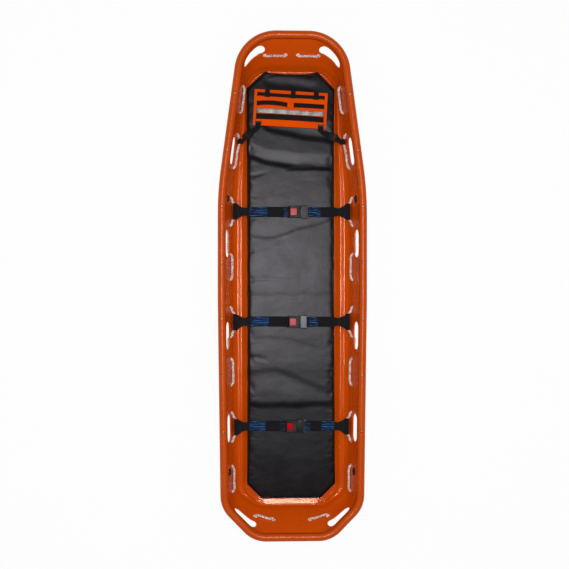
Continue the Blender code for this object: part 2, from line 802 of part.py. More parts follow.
def pad_outline(inset):
    """The mattress outline, with its long sides drawn in a little between the corners."""
    half_x, half_y = pad_half_size()
    slope = math.tan(math.pi / 8)
    along = half_y - PAD_CORNER - inset * slope
    across = half_x - PAD_CORNER - inset * slope
    corners = ((half_x - inset, along), (across, half_y - inset))
    ring = []
    for k in range(PAD_SIDE_STEPS + 1):
        share = k / PAD_SIDE_STEPS
        pull = PAD_PULL_IN * math.sin(math.pi * share) ** 0.5
        ring.append((corners[0][0] - pull, -corners[0][1] + 2 * corners[0][1] * share))
    for k in range(PAD_END_STEPS + 1):
        share = k / PAD_END_STEPS
        pull = 2 * PAD_PULL_IN * math.sin(math.pi * share) ** 0.5
        ring.append((corners[1][0] - 2 * corners[1][0] * share, corners[1][1] - pull))
    return ring + [(-x, -y) for x, y in ring]


def make_mattress():
    layers = [(0.006, PAD_BOTTOM), (0.0, PAD_BOTTOM + 0.006), (0.002, PAD_BOTTOM + 0.018)]
    layers += [(inset, PAD_TOP + drop) for inset, drop in PAD_CROWN]
    rings = [[(x, y, z) for x, y in pad_outline(inset)] for inset, z in layers]
    bm = bmesh.new()
    add_loft(bm, rings)
    new_object("mattress", bm, "black_vinyl", smooth=True)


def add_ribbon(bm, path, thickness, cyclic=False):
    """Webbing along a path of (point, across, width): a thin band of rectangular section."""
    rings = []
    last = len(path) - 1
    for k, (point, across, width) in enumerate(path):
        before = path[k - 1][0] if k or cyclic else point
        after = path[(k + 1) % len(path)][0] if k < last or cyclic else point
        one = (point - before).normalized() if point != before else (after - point).normalized()
        two = (after - point).normalized() if point != after else one
        along = (one + two).normalized()
        normal = along.cross(across).normalized()
        grow = min(1.0 / max(along.dot(two), 0.5), 1.3)
        half = normal * (thickness / 2 * grow)
        reach = across * (width / 2)
        lower = (point - reach - half, point + reach - half)
        rings.append(lower + (point + reach + half, point - reach + half))
    add_loft(bm, rings, cyclic)


def strap_path(rope, lift_off, pad_z, bar, tail, layer):
    """Points (distance from the middle, height, width) of half a restraint strap.

    It starts at the end of the sewn return, goes round the rope, runs to the buckle's or
    tongue's bar, goes under and round it, and ends as a tail on top of itself.
    """
    rope_s, rope_z = rope
    bar_s, bar_z, wrap = bar
    step = WEBBING + SEWN_GAP
    rest = pad_z + FIT + WEBBING / 2
    start = Vector((lift_off, rest + step / 2))
    hub = Vector((rope_s, rope_z))
    way = (hub - start).normalized()
    over = Vector((-way.y, way.x))
    radius = ROPE_RADIUS + layer
    flare = WEBBING_FLARE

    def upper(back, width):
        spot = hub - way * back + over * (step / 2)
        return spot.x, spot.y, width

    def lower(back, width):
        spot = hub - way * back - over * (step / 2)
        return spot.x, spot.y, width

    points = [lower(SEWN_RETURN, WEBBING_WIDTH), lower(SEWN_CLOSE, flare * 0.78)]
    slope = math.atan2(way.y, way.x)
    for k in range(7):
        angle = slope + math.radians(-108 + 36 * k)
        points.append((hub.x + radius * math.cos(angle), hub.y + radius * math.sin(angle), flare))
    points.append(upper(SEWN_CLOSE, flare * 0.78))
    points.append(upper(SEWN_RETURN, WEBBING_WIDTH))
    points.append((lift_off, rest, WEBBING_WIDTH))
    points.append((bar_s + tail + 0.010, rest, WEBBING_WIDTH))
    points.append((bar_s + 0.014, rest, WEBBING_WIDTH))
    for k in range(6):
        angle = math.radians(-80 - 40 * k)
        points.append((bar_s + wrap * math.cos(angle), bar_z + wrap * math.sin(angle), WEBBING_WIDTH))
    points.append((bar_s + 0.018, rest + step + 0.0004, WEBBING_WIDTH))
    points.append((bar_s + tail, rest + step, WEBBING_WIDTH))
    return points


def make_restraint_webbing(name, side, y, middle, bar, tail):
    """Half a restraint strap; middle is where the buckle's middle lies along X."""
    x = side_spot(wall_ring(ROPE_Z), y)[0]
    _, _, along = wall_spot(ROPE_Z, (side * x, y))
    rope_across = Vector((along.x, along.y, 0.0)) * math.copysign(1.0, along.y)
    lift_off = pad_half_size()[0] - STRAP_PAD_EDGE
    bar_spot = (side * middle + bar[0], bar[1], bar[2])
    layer = WEBBING / 2 + ROPE_PLAY
    path = []
    for s, z, width in strap_path((x - ROPE_INSIDE, ROPE_Z), lift_off, PAD_TOP, bar_spot, tail, layer):
        across = rope_across if width > WEBBING_WIDTH else Vector((0.0, 1.0, 0.0))
        path.append((Vector((side * s, y, z)), across, width))
    bm = bmesh.new()
    add_ribbon(bm, path, WEBBING)
    new_object(name, bm, "black_webbing")


def make_buckle(name, frame):
    """The housing: a notched tail with a cross bar, a button pocket and a slot for the tongue."""
    half = BUCKLE_LENGTH / 2
    wide = BUCKLE_WIDTH / 2
    low = BUCKLE_LIFT
    top = low + BUCKLE_HEIGHT
    bm = bmesh.new()
    place = Matrix.Translation((0.0, 0.0, (low + top) / 2))
    add_prism(bm, rounded_rectangle((-half, -wide), (half, wide), 0.004, 2), place, BUCKLE_HEIGHT)
    housing = new_object(name, bm, "black_plastic", frame)
    notch_wide = wide - BUCKLE_SIDE
    cut = bmesh.new()
    add_box(cut, (-half - 0.01, -notch_wide, low - 0.01), (-half + BUCKLE_NOTCH, notch_wide, top + 0.01))
    slot_wide = BLADE_WIDTH / 2 + FIT
    slot_z = TONGUE_Z
    reach = TONGUE_THICKNESS / 2 + FIT
    slot_start = half - BLADE_DEPTH - 0.002
    add_box(cut, (slot_start, -slot_wide, slot_z - reach), (half + 0.01, slot_wide, slot_z + reach))
    pocket = BUTTON_WIDTH / 2 + FIT
    add_box(cut, (BUTTON_START - FIT, -pocket, pocket_floor()), (BUTTON_END + FIT, pocket, top + 0.01))
    cutter = new_object(name + "_cutter", cut, "black_plastic", frame)
    use_boolean(housing, cutter, "DIFFERENCE")
    bar = bmesh.new()
    bar_x = -half + BAR_LENGTH / 2
    low_bar = (bar_x - BAR_LENGTH / 2, -notch_wide - 0.001, TONGUE_Z - BAR_HEIGHT / 2)
    high_bar = (bar_x + BAR_LENGTH / 2, notch_wide + 0.001, TONGUE_Z + BAR_HEIGHT / 2)
    add_box(bar, low_bar, high_bar)
    use_boolean(housing, new_object(name + "_bar", bar, "black_plastic", frame), "UNION")


def pocket_floor():
    return TONGUE_Z + TONGUE_THICKNESS / 2 + FIT + 0.0012


def button_bottom():
    return BUCKLE_LIFT + BUCKLE_HEIGHT + BUTTON_PROUD - BUTTON_HEIGHT


def make_button(name, frame):
    bm = bmesh.new()
    low = button_bottom()
    top = low + BUTTON_HEIGHT
    wide = BUTTON_WIDTH / 2
    rings = []
    for z, inset in ((low, 0.0), (top - 0.001, 0.0), (top, 0.001)):
        low_corner = (BUTTON_START + inset, -wide + inset)
        high_corner = (BUTTON_END - inset, wide - inset)
        rings.append([(x, y, z) for x, y in rounded_rectangle(low_corner, high_corner, 0.003, 2)])
    add_loft(bm, rings)
    new_object(name, bm, "red_button", frame)


def make_spring(name, frame):
    """A bowed leaf under the button, its ends on the pocket floor and its back under the button."""
    low = pocket_floor() + FIT + SPRING_THICKNESS / 2
    high = button_bottom() - FIT - SPRING_THICKNESS / 2
    reach = 0.010
    middle = (BUTTON_START + BUTTON_END) / 2
    path = []
    for k in range(9):
        share = k / 8
        x = middle - reach + 2 * reach * share
        z = low + (high - low) * math.sin(math.pi * share)
        path.append((Vector((x, 0.0, z)), Vector((0.0, 1.0, 0.0)), 0.016))
    bm = bmesh.new()
    add_ribbon(bm, path, SPRING_THICKNESS)
    new_object(name, bm, "bright_steel", frame)


def make_tongue(name, frame):
    """A flat latch plate: a blade with its latch window and a wide head with a webbing slot."""
    blade = BLADE_WIDTH / 2
    head = HEAD_WIDTH / 2
    tip = BUCKLE_LENGTH / 2 - BLADE_DEPTH
    outline = (
        (tip, -blade + 0.004),
        (tip + 0.004, -blade),
        (HEAD_START - 0.0005, -blade),
        (HEAD_START, -blade - 0.0005),
        (HEAD_START + 0.004, -head + 0.004),
        (HEAD_START + 0.008, -head),
        (HEAD_END - 0.005, -head),
        (HEAD_END, -head + 0.005),
    )
    outline = outline + tuple((x, -y) for x, y in reversed(outline))
    bm = bmesh.new()
    add_prism(bm, outline, Matrix.Translation((0.0, 0.0, TONGUE_Z)), TONGUE_THICKNESS)
    tongue = new_object(name, bm, "bright_steel", frame)
    cut = bmesh.new()
    slot_end = HEAD_END - HEAD_BAR
    slot_wide = WEBBING_WIDTH / 2 + FIT
    add_box(cut, (slot_end - HEAD_SLOT, -slot_wide, 0.0), (slot_end, slot_wide, 0.02))
    add_box(cut, (tip + 0.006, -0.006, 0.0), (tip + 0.014, 0.006, 0.02))
    use_boolean(tongue, new_object(name + "_cutter", cut, "bright_steel", frame), "DIFFERENCE")


def make_restraint_strap(name, y, middle):
    fixed = new_empty(name + "_frame", (middle, y, PAD_TOP))
    pressed = new_empty(name + "_button_axis", (middle, y, PAD_TOP))
    pulled = new_empty(name + "_tongue_axis", (middle, y, PAD_TOP))
    make_buckle(name + "_buckle", fixed)
    make_button(name + "_button", pressed)
    make_spring(name + "_spring", fixed)
    make_tongue(name + "_tongue", pulled)
    bar_z = PAD_TOP + TONGUE_Z
    buckle_wrap = loop_radius(BAR_LENGTH / 2, BAR_HEIGHT / 2, WEBBING)
    tongue_wrap = loop_radius(HEAD_BAR / 2, TONGUE_THICKNESS / 2, WEBBING)
    buckle_bar = (BUCKLE_LENGTH / 2 - BAR_LENGTH / 2, bar_z, buckle_wrap)
    tongue_bar = (HEAD_END - HEAD_BAR / 2, bar_z, tongue_wrap)
    make_restraint_webbing(name + "_webbing_left", -1, y, middle, buckle_bar, LEFT_TAIL)
    make_restraint_webbing(name + "_webbing_right", 1, y, middle, tongue_bar, RIGHT_TAIL)


def footboard_heights():
    """Back face, front face and border top of the plate, from the tilt axis at mid-thickness."""
    back = -FOOTBOARD_THICKNESS / 2
    front = FOOTBOARD_THICKNESS / 2
    return back, front, front + FOOTBOARD_BORDER_HEIGHT


def footboard_axis():
    return Vector((FOOTBOARD_AXIS_X, FOOTBOARD_AXIS_Y, FOOTBOARD_AXIS_Z))


def footboard_bands():
    """Name, left end, right end, place up the plate and width of each webbing band."""
    return (
        ("upper", -BAND_REACH, BAND_REACH, UPPER_BAND_V, UPPER_BAND_WIDTH),
        ("middle_left", -BAND_REACH, -BAND_MIDDLE, MIDDLE_BAND_V, MIDDLE_BAND_WIDTH),
        ("middle_right", BAND_MIDDLE, BAND_REACH, MIDDLE_BAND_V, MIDDLE_BAND_WIDTH),
        ("reflective_strip", -BAND_REACH, BAND_REACH, STRIP_V, STRIP_WIDTH),
        ("lower", -BAND_REACH, BAND_REACH, LOWER_BAND_V, LOWER_BAND_WIDTH),
    )


def make_footboard_plate(frame):
    back, front, border = footboard_heights()
    wide = FOOTBOARD_WIDTH / 2
    low = (-wide, -FOOTBOARD_EDGE)
    high = (wide, FOOTBOARD_LENGTH)
    rings = []
    for inset, z in ((0.0, back), (0.0, border), (FOOTBOARD_BORDER, border), (FOOTBOARD_BORDER, front)):
        corner = FOOTBOARD_CORNER - inset
        inner_low = (low[0] + inset, low[1] + inset)
        inner_high = (high[0] - inset, high[1] - inset)
        rings.append([(x, y, z) for x, y in rounded_rectangle(inner_low, inner_high, corner, 3)])
    bm = bmesh.new()
    add_loft(bm, rings)
    plate = new_object("footboard_plate", bm, "orange_board", frame)
    cut = bmesh.new()
    for _, left, right, v, width in footboard_bands():
        for u in (left, right):
            reach = width / 2 + BAND_PLAY / 2
            low_corner = (u - BAND_SLIT / 2, v - reach, back - 0.01)
            add_box(cut, low_corner, (u + BAND_SLIT / 2, v + reach, border + 0.01))
    for _, u in TOP_LOOPS:
        reach = TOP_LOOP_WIDTH / 2 + BAND_PLAY / 2
        slot = top_loop_slot()
        low_corner = (u - reach, slot - BAND_SLIT / 2, back - 0.01)
        add_box(cut, low_corner, (u + reach, slot + BAND_SLIT / 2, border + 0.01))
    for side in (-1, 1):
        middle = side * SIDE_STRAP_U
        reach = SIDE_STRAP_WIDTH / 2 + BAND_PLAY / 2
        bar_top = FOOTBOARD_EDGE
        high_corner = (middle + reach, bar_top + SIDE_SLOT, border + 0.01)
        add_box(cut, (middle - reach, bar_top, back - 0.01), high_corner)
        high_corner = (middle + reach, bar_top + 0.001, border + 0.01)
        add_box(cut, (middle - reach, -FOOTBOARD_EDGE - 0.01, front), high_corner)
    use_boolean(plate, new_object("footboard_cutter", cut, "orange_board", frame), "DIFFERENCE", True)


def top_loop_slot():
    return UPPER_BAND_V - UPPER_BAND_WIDTH / 2 - BAND_PLAY - BAND_SLIT / 2


def make_footboard_band(name, left, right, v, width, finish, frame):
    """A band over the face of the plate, its ends down through slits and turned under."""
    back, front, _ = footboard_heights()
    over = front + FIT + BAND / 2
    under = back - FIT - BAND / 2
    left_tab = left - BAND_TAB
    right_tab = right + BAND_TAB
    route = [(left_tab, under), (left, under), (left, over)]
    route += [(right, over), (right, under), (right_tab, under)]
    path = [(Vector((u, v, z)), Vector((0.0, 1.0, 0.0)), width) for u, z in route]
    bm = bmesh.new()
    add_ribbon(bm, path, BAND)
    new_object(name, bm, finish, frame)


def make_top_loop(name, u, frame):
    """A closed loop of webbing round the upper band and the top edge of the plate."""
    back, front, border = footboard_heights()
    slot = top_loop_slot()
    under = back - FIT - BAND / 2
    over = front + 2 * FIT + BAND * 1.5 + 0.0002
    crest = border + FIT + BAND / 2
    edge = FOOTBOARD_LENGTH + FIT + BAND / 2
    inner = FOOTBOARD_LENGTH - FOOTBOARD_BORDER - 0.001
    rise = UPPER_BAND_V + UPPER_BAND_WIDTH / 2 - 0.004
    route = [(slot, under), (slot, over), (rise, over), (inner, crest), (edge, crest), (edge, under)]
    path = [(Vector((u, v, z)), Vector((1.0, 0.0, 0.0)), TOP_LOOP_WIDTH) for v, z in route]
    bm = bmesh.new()
    add_ribbon(bm, path, BAND, cyclic=True)
    new_object(name, bm, "black_webbing", frame)


def make_footboard(frame):
    make_footboard_plate(frame)
    for name, left, right, v, width in footboard_bands():
        finish = "reflective" if name == "reflective_strip" else "black_webbing"
        prefix = "footboard_" if name == "reflective_strip" else "footboard_band_"
        make_footboard_band(prefix + name, left, right, v, width, finish, frame)
    for name, u in TOP_LOOPS:
        make_top_loop("footboard_loop_" + name, u, frame)


def side_strap_ends(side):
    """Where a footboard side strap leaves the plate's lower bar and where it meets the rope."""
    axis = footboard_axis()
    turn = Matrix.Rotation(FOOTBOARD_TURN, 3, "Z")
    bar = axis + turn @ Vector((side * SIDE_STRAP_U, 0.0, 0.0))
    x, y = side_spot(wall_ring(ROPE_Z), SIDE_ROPE_Y)
    spot, inward, along = wall_spot(ROPE_Z, (side * x, y))
    rope = spot + inward * ROPE_INSIDE
    return bar, Vector((rope.x, rope.y, ROPE_Z)), Vector((along.x, along.y, 0.0))


def clip_frame(side):
    """The middle of a clip, its way out towards the rope and the way across it."""
    bar, rope, _ = side_strap_ends(side)
    start = bar + Vector((side * 0.010, -0.020, 0.0015))
    way = (rope - start).normalized()
    across = Vector((-way.y, way.x, 0.0)).normalized()
    middle = start.lerp(rope, 0.5) - way * 0.003
    return middle, way, across


def make_clip_halves(side, label):
    """A side-release clip: the male half slides out of the female half away from the rope."""
    middle, way, across = clip_frame(side)
    place = Matrix((way, across, way.cross(across))).transposed().to_4x4()
    place = Matrix.Translation(middle) @ place
    fixed = new_empty("footboard_clip_" + label + "_frame", (0, 0, 0))
    moving = new_empty("footboard_clip_" + label + "_axis", (0, 0, 0))
    fixed.matrix_world = place
    moving.matrix_world = place
    wide = CLIP_WIDTH / 2
    tall = CLIP_HEIGHT / 2
    mouth = -CLIP_FEMALE / 2 + 0.006
    end = mouth + CLIP_FEMALE
    slot = SIDE_STRAP_WIDTH / 2 + 0.0008
    bm = bmesh.new()
    add_prism(bm, rounded_rectangle((mouth, -wide), (end, wide), 0.003, 2), Matrix.Identity(4), CLIP_HEIGHT)
    female = new_object("footboard_clip_" + label + "_female", bm, "black_plastic", fixed)
    cut = bmesh.new()
    hollow = wide - 0.0025
    prong = CLIP_PRONG_THICKNESS / 2 + FIT
    add_box(cut, (mouth - 0.01, -hollow, -prong), (mouth + CLIP_PRONG + FIT, hollow, prong))
    add_box(cut, (mouth + 0.009, -wide - 0.01, -prong), (mouth + 0.0145, wide + 0.01, prong))
    bar_in = end - CLIP_BAR
    add_box(cut, (bar_in - CLIP_WINDOW, -slot, -0.02), (end + 0.01, slot, 0.02))
    use_boolean(female, new_object("clip_cutter_" + label, cut, "black_plastic", fixed), "DIFFERENCE", True)
    add_clip_bar(female, label, bar_in, slot, fixed)
    base = mouth - FIT - CLIP_MALE
    male = bmesh.new()
    outline = rounded_rectangle((base, -wide), (mouth - FIT, wide), 0.002, 2)
    add_prism(male, outline, Matrix.Identity(4), CLIP_HEIGHT)
    male_body = new_object("footboard_clip_" + label + "_male", male, "black_plastic", moving)
    prongs = bmesh.new()
    reach = mouth + CLIP_PRONG - FIT
    root = mouth - 0.003
    side_out = hollow - FIT
    fork = (
        (root, -side_out),
        (reach - 0.004, -side_out),
        (reach, -side_out + 0.003),
        (reach, -side_out + 0.005),
        (mouth + 0.003, -side_out + 0.004),
        (mouth + 0.003, -0.003),
        (reach - 0.002, -0.003),
        (reach, -0.001),
    )
    fork = fork + tuple((x, -y) for x, y in reversed(fork))
    add_prism(prongs, fork, Matrix.Identity(4), CLIP_PRONG_THICKNESS)
    use_boolean(male_body, new_object("clip_prongs_" + label, prongs, "black_plastic", moving), "UNION")
    window = bmesh.new()
    add_box(window, (base - 0.01, -slot, -0.02), (base + CLIP_BAR + CLIP_WINDOW, slot, 0.02))
    cutter = new_object("clip_window_" + label, window, "black_plastic", moving)
    use_boolean(male_body, cutter, "DIFFERENCE")
    add_clip_bar(male_body, label, base, slot, moving)
    return place, base + CLIP_BAR / 2, end - CLIP_BAR / 2


def add_clip_bar(body, label, start, slot, frame):
    """The low cross bar that the webbing goes round, joined to the clip's two side arms."""
    bar = bmesh.new()
    add_box(bar, (start, -slot - 0.001, -CLIP_BAR / 2), (start + CLIP_BAR, slot + 0.001, CLIP_BAR / 2))
    use_boolean(body, new_object(body.name + "_bar", bar, "black_plastic", frame), "UNION")


def wrap_points(centre, way, up, radius, start, turn, steps):
    """Points of an arc about centre, in the plane of way and up, angles in degrees from way."""
    points = []
    for k in range(steps + 1):
        angle = math.radians(start + turn * k / steps)
        points.append(centre + way * (radius * math.cos(angle)) + up * (radius * math.sin(angle)))
    return points


def make_inner_side_strap(side, label, place, bar_x):
    """From a loop round the plate's lower bar to a loop round the male half's bar."""
    bar, _, _ = side_strap_ends(side)
    turn = Matrix.Rotation(FOOTBOARD_TURN, 3, "Z")
    plate_across = turn @ Vector((1.0, 0.0, 0.0))
    plate_way = turn @ Vector((0.0, 1.0, 0.0))
    rise = Vector((0.0, 0.0, 1.0))
    clip_way = (place.to_3x3() @ Vector((1.0, 0.0, 0.0))).normalized()
    clip_across = (place.to_3x3() @ Vector((0.0, 1.0, 0.0))).normalized()
    clip_up = clip_way.cross(clip_across).normalized()
    if clip_up.z < 0:
        clip_up.negate()
    if clip_across.dot(plate_across) < 0:
        clip_across.negate()
    clip_bar = place @ Vector((bar_x, 0.0, 0.0))
    wrap = loop_radius(CLIP_BAR / 2, CLIP_BAR / 2, SIDE_STRAP)
    path = []
    for point in wrap_points(bar, -plate_way, rise, SIDE_LOOP_RADIUS, -60, -240, 6):
        path.append((point, plate_across, SIDE_STRAP_WIDTH))
    start = bar - plate_way * 0.012 + rise * 0.004
    end = clip_bar - clip_way * 0.010 + clip_up * 0.0015
    for share in (0.0, 0.33, 0.67, 1.0):
        across = plate_across.lerp(clip_across, share).normalized()
        path.append((start.lerp(end, share), across, SIDE_STRAP_WIDTH))
    for point in wrap_points(clip_bar, clip_way, clip_up, wrap, 120, -240, 6):
        path.append((point, clip_across, SIDE_STRAP_WIDTH))
    bm = bmesh.new()
    add_ribbon(bm, path, SIDE_STRAP)
    new_object("footboard_strap_" + label + "_inner", bm, "black_webbing")


def make_outer_side_strap(side, label, place, bar_x):
    """From a loop round the female half's bar to a loop round the rope."""
    _, rope, along = side_strap_ends(side)
    clip_way = (place.to_3x3() @ Vector((1.0, 0.0, 0.0))).normalized()
    clip_across = (place.to_3x3() @ Vector((0.0, 1.0, 0.0))).normalized()
    clip_up = clip_way.cross(clip_across).normalized()
    if clip_up.z < 0:
        clip_up.negate()
    rope_across = along if along.dot(clip_across) > 0 else -along
    rise = Vector((0.0, 0.0, 1.0))
    rope_way = rope_across.cross(rise)
    if rope_way.dot(clip_way) < 0:
        rope_way.negate()
    clip_bar = place @ Vector((bar_x, 0.0, 0.0))
    wrap = loop_radius(CLIP_BAR / 2, CLIP_BAR / 2, SIDE_STRAP)
    radius = ROPE_RADIUS + SIDE_STRAP / 2 + 0.0009
    path = []
    for point in wrap_points(clip_bar, clip_way, clip_up, wrap, 300, -240, 6):
        path.append((point, clip_across, SIDE_STRAP_WIDTH))
    start = clip_bar + clip_way * 0.008 + clip_up * 0.0015
    end = rope - rope_way * 0.011 + rise * 0.004
    for share in (0.0, 0.5, 1.0):
        across = clip_across.lerp(rope_across, share).normalized()
        path.append((start.lerp(end, share), across, SIDE_STRAP_WIDTH))
    for point in wrap_points(rope, rope_way, rise, radius, 110, -240, 7):
        path.append((point, rope_across, SIDE_STRAP_WIDTH))
    bm = bmesh.new()
    add_ribbon(bm, path, SIDE_STRAP)
    new_object("footboard_strap_" + label + "_outer", bm, "black_webbing")


def make_side_strap(side, label):
    place, male_bar, female_bar = make_clip_halves(side, label)
    make_inner_side_strap(side, label, place, male_bar)
    make_outer_side_strap(side, label, place, female_bar)


def main():
    remove_scene_objects()
    make_shell()
    make_frame_tube("frame_tube_right", 1)
    make_frame_tube("frame_tube_left", -1)
    make_spigot("tube_spigot_foot", 1)
    make_spigot("tube_spigot_head", -1)
    for label, side in (("right", 1), ("left", -1)):
        for k, spot in enumerate(rivet_places(side), start=1):
            make_rivet("rim_rivet_" + label + "_" + str(k), spot)
    for target in lift_targets():
        end = "foot_" if target[1] > 0 else "head_"
        make_grommet("lifting_grommet_" + end + ("right" if target[0] > 0 else "left"), target)
    make_rope()
    make_mattress()
    make_restraint_strap("leg_strap", LEG_STRAP_Y, LEG_BUCKLE_X)
    make_restraint_strap("hip_strap", HIP_STRAP_Y, HIP_BUCKLE_X)
    make_restraint_strap("chest_strap", CHEST_STRAP_Y, CHEST_BUCKLE_X)
    make_footboard(new_empty("footboard_axis", footboard_axis(), FOOTBOARD_TURN))
    for label, side in (("right", 1), ("left", -1)):
        make_side_strap(side, label)


main()
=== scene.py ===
import math
import random

import bmesh
import bpy
import numpy as np
from mathutils import Matrix, Vector, noise


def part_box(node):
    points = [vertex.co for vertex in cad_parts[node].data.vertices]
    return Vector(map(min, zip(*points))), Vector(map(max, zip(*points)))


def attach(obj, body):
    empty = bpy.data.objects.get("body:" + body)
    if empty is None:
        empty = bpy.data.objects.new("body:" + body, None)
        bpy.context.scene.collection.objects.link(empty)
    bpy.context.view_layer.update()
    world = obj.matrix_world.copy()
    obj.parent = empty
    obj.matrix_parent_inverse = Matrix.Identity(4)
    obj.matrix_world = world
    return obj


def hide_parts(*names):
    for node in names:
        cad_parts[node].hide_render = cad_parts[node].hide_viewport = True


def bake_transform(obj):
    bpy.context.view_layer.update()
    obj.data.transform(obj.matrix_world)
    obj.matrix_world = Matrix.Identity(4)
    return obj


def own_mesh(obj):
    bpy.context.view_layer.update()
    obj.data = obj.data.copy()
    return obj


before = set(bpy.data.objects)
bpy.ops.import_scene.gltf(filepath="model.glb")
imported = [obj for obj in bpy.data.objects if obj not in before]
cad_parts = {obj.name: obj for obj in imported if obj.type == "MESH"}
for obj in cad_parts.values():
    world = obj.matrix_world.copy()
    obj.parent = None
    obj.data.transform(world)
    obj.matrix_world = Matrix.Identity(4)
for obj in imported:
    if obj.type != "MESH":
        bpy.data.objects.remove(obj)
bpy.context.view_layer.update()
SCENE = bpy.context.scene
LINK = SCENE.collection.objects.link
UP = Vector((0.0, 0.0, 1.0))
TURNS = 2 * math.pi

# Sizes of the basket, in metres
LENGTH, WIDTH, HEIGHT, WALL = 2.180, 0.638, 0.190, 0.004
LIP_R = 0.0125 + 0.0043 / math.cos(math.radians(18))
LIP_Z = HEIGHT - LIP_R
WALL_TOP = 0.1668
FLOOR = 0.016
OUTER = ((0.226, 1.090), (0.319, 0.405), (0.319, -0.060), (0.307, -0.946), (0.167, -1.090))
OUTER_R = (0.180, 1.500, 4.000, 0.130, 0.130)
BASE = ((0.196, 0.948), (0.199, 0.405), (0.199, -0.060), (0.197, -0.907), (0.142, -0.962))
BASE_R = (0.110, 1.500, 4.000, 0.060, 0.060)
ROPE_Z = 0.084
PAD_TOP = 0.0585


# Materials

class Graph:
    """A node tree under construction: each call adds a node and returns one of its outputs."""

    def __init__(self, tree):
        self.tree = tree

    def feed(self, socket, value):
        if isinstance(value, bpy.types.NodeSocket):
            self.tree.links.new(value, socket)
        elif isinstance(value, tuple) and len(value) < len(socket.default_value):
            socket.default_value = (*value, 1.0)
        else:
            socket.default_value = value

    def add(self, kind, *fed, out=0, **values):
        """Inputs come in order or by name; what is no input's name is a setting of the node."""
        node = self.tree.nodes.new("ShaderNode" + kind)
        for key, value in values.items():
            if key.replace("_", " ") in node.inputs:
                self.feed(node.inputs[key.replace("_", " ")], value)
            else:
                setattr(node, key, value)
        for socket, value in zip(node.inputs, fed):
            self.feed(socket, value)
        return node.outputs[out]

    def math(self, operation, *fed, clamp=False):
        return self.add("Math", *fed, operation=operation, use_clamp=clamp)

    def times(self, a, b):
        return self.math("MULTIPLY", a, b)

    def plus(self, a, b):
        return self.math("ADD", a, b)

    def wave(self, value, pitch):
        return self.math("SINE", self.times(value, TURNS / pitch))

    def split(self, vector):
        return self.add("SeparateXYZ", vector).node.outputs

    def spread(self, value, low, high, to_low=0.0, to_high=1.0):
        """Zero to one, or the two values given, while the value runs from low to high."""
        return self.add("MapRange", value, low, high, to_low, to_high)

    def ramp(self, value, *stops):
        """A colour ramp from (place, colour) stops; a plain number stands for a grey."""
        colour = self.add("ValToRGB", value)
        elements = colour.node.color_ramp.elements
        while len(elements) < len(stops):
            elements.new(0.5)
        for element, (place, shade) in zip(elements, stops):
            element.position = place
            element.color = (*shade, 1.0) if isinstance(shade, tuple) else (shade, shade, shade, 1.0)
        return colour

    def mix(self, share, a, b):
        node = self.add("Mix", share, data_type="RGBA", out=2).node
        self.feed(node.inputs[6], a)
        self.feed(node.inputs[7], b)
        return node.outputs[2]


class Look(Graph):
    """A material on the Principled shader."""

    def __init__(self, name, **fed):
        self.mat = bpy.data.materials.new(name)
        self.mat.use_nodes = True
        super().__init__(self.mat.node_tree)
        self.shader = self.tree.nodes["Principled BSDF"]
        self.where = self.add("TexCoord", out="Object")
        self.set(**fed)

    def set(self, **fed):
        for key, value in fed.items():
            self.feed(self.shader.inputs[key.replace("_", " ")], value)

    def noise(self, scale, detail=2.0, roughness=0.5, vector=None):
        vector = vector or self.where
        return self.add("TexNoise", Vector=vector, Scale=scale, Detail=detail, Roughness=roughness)

    def bump(self, height, strength, distance):
        self.set(Normal=self.add("Bump", Height=height, Strength=strength, Distance=distance))


SPECULAR = "Specular_IOR_Level"
LOW_WALL = (0.034, 0.056)
# Heights where shade is painted on the rolled lip: its darkened top, and a dark band round its sides
RIM_SHADE_SPAN = (0.160, 0.176)
LIP_SHADE_Z, LIP_SHADE_REACH = 0.1725, 0.0075


def moulded_orange(name, colour, dark, roughness, grain, tint, level=None):
    """Rotomoulded plastic: pebbled, slightly mottled and scuffed, glossier low down, with painted shade on
    the lip's top and along its sides.
    """
    look = Look(name, Specular_Tint=tint)
    height = look.split(look.where)[2]
    base = look.ramp(look.noise(9.0, 4.0), (0.30, dark), (0.72, colour))
    scuff = look.noise(70.0, 8.0, 0.75)
    mask = look.ramp(scuff, (0.66, 0.0), (0.78, 1.0))
    faded = tuple(min(1.0, c * 0.9 + 0.05) for c in colour)
    base = look.mix(look.times(mask, 0.25), base, faded)
    # Painted shade: the rolled lip's top is darkened by up to 22 per cent, as if it caught less light than
    # the floor
    base = look.mix(look.times(look.spread(height, *RIM_SHADE_SPAN), 0.22), base, (0.02, 0.004, 0.001))
    # Painted shade: a dark band along both sides of the rolled lip, around the height of its centre
    gap = look.math("ABSOLUTE", look.math("SUBTRACT", height, LIP_SHADE_Z))
    lip_shade = look.math("SUBTRACT", 1.0, look.math("DIVIDE", gap, LIP_SHADE_REACH), clamp=True)
    base = look.mix(look.times(lip_shade, 0.60), base, (0.06, 0.008, 0.0005))
    if level is None:
        level = look.spread(height, *LOW_WALL, 1.0, 0.45)
    polish = look.spread(height, *LOW_WALL, roughness - 0.20, roughness - 0.08)
    look.set(Base_Color=base, Roughness=look.math("MULTIPLY_ADD", scuff, 0.16, polish), **{SPECULAR: level})
    pebble = look.noise(170.0, 3.0, 0.6)
    look.bump(look.plus(pebble, look.times(look.noise(60.0), 1.2)), grain, 0.0013)
    return look.mat


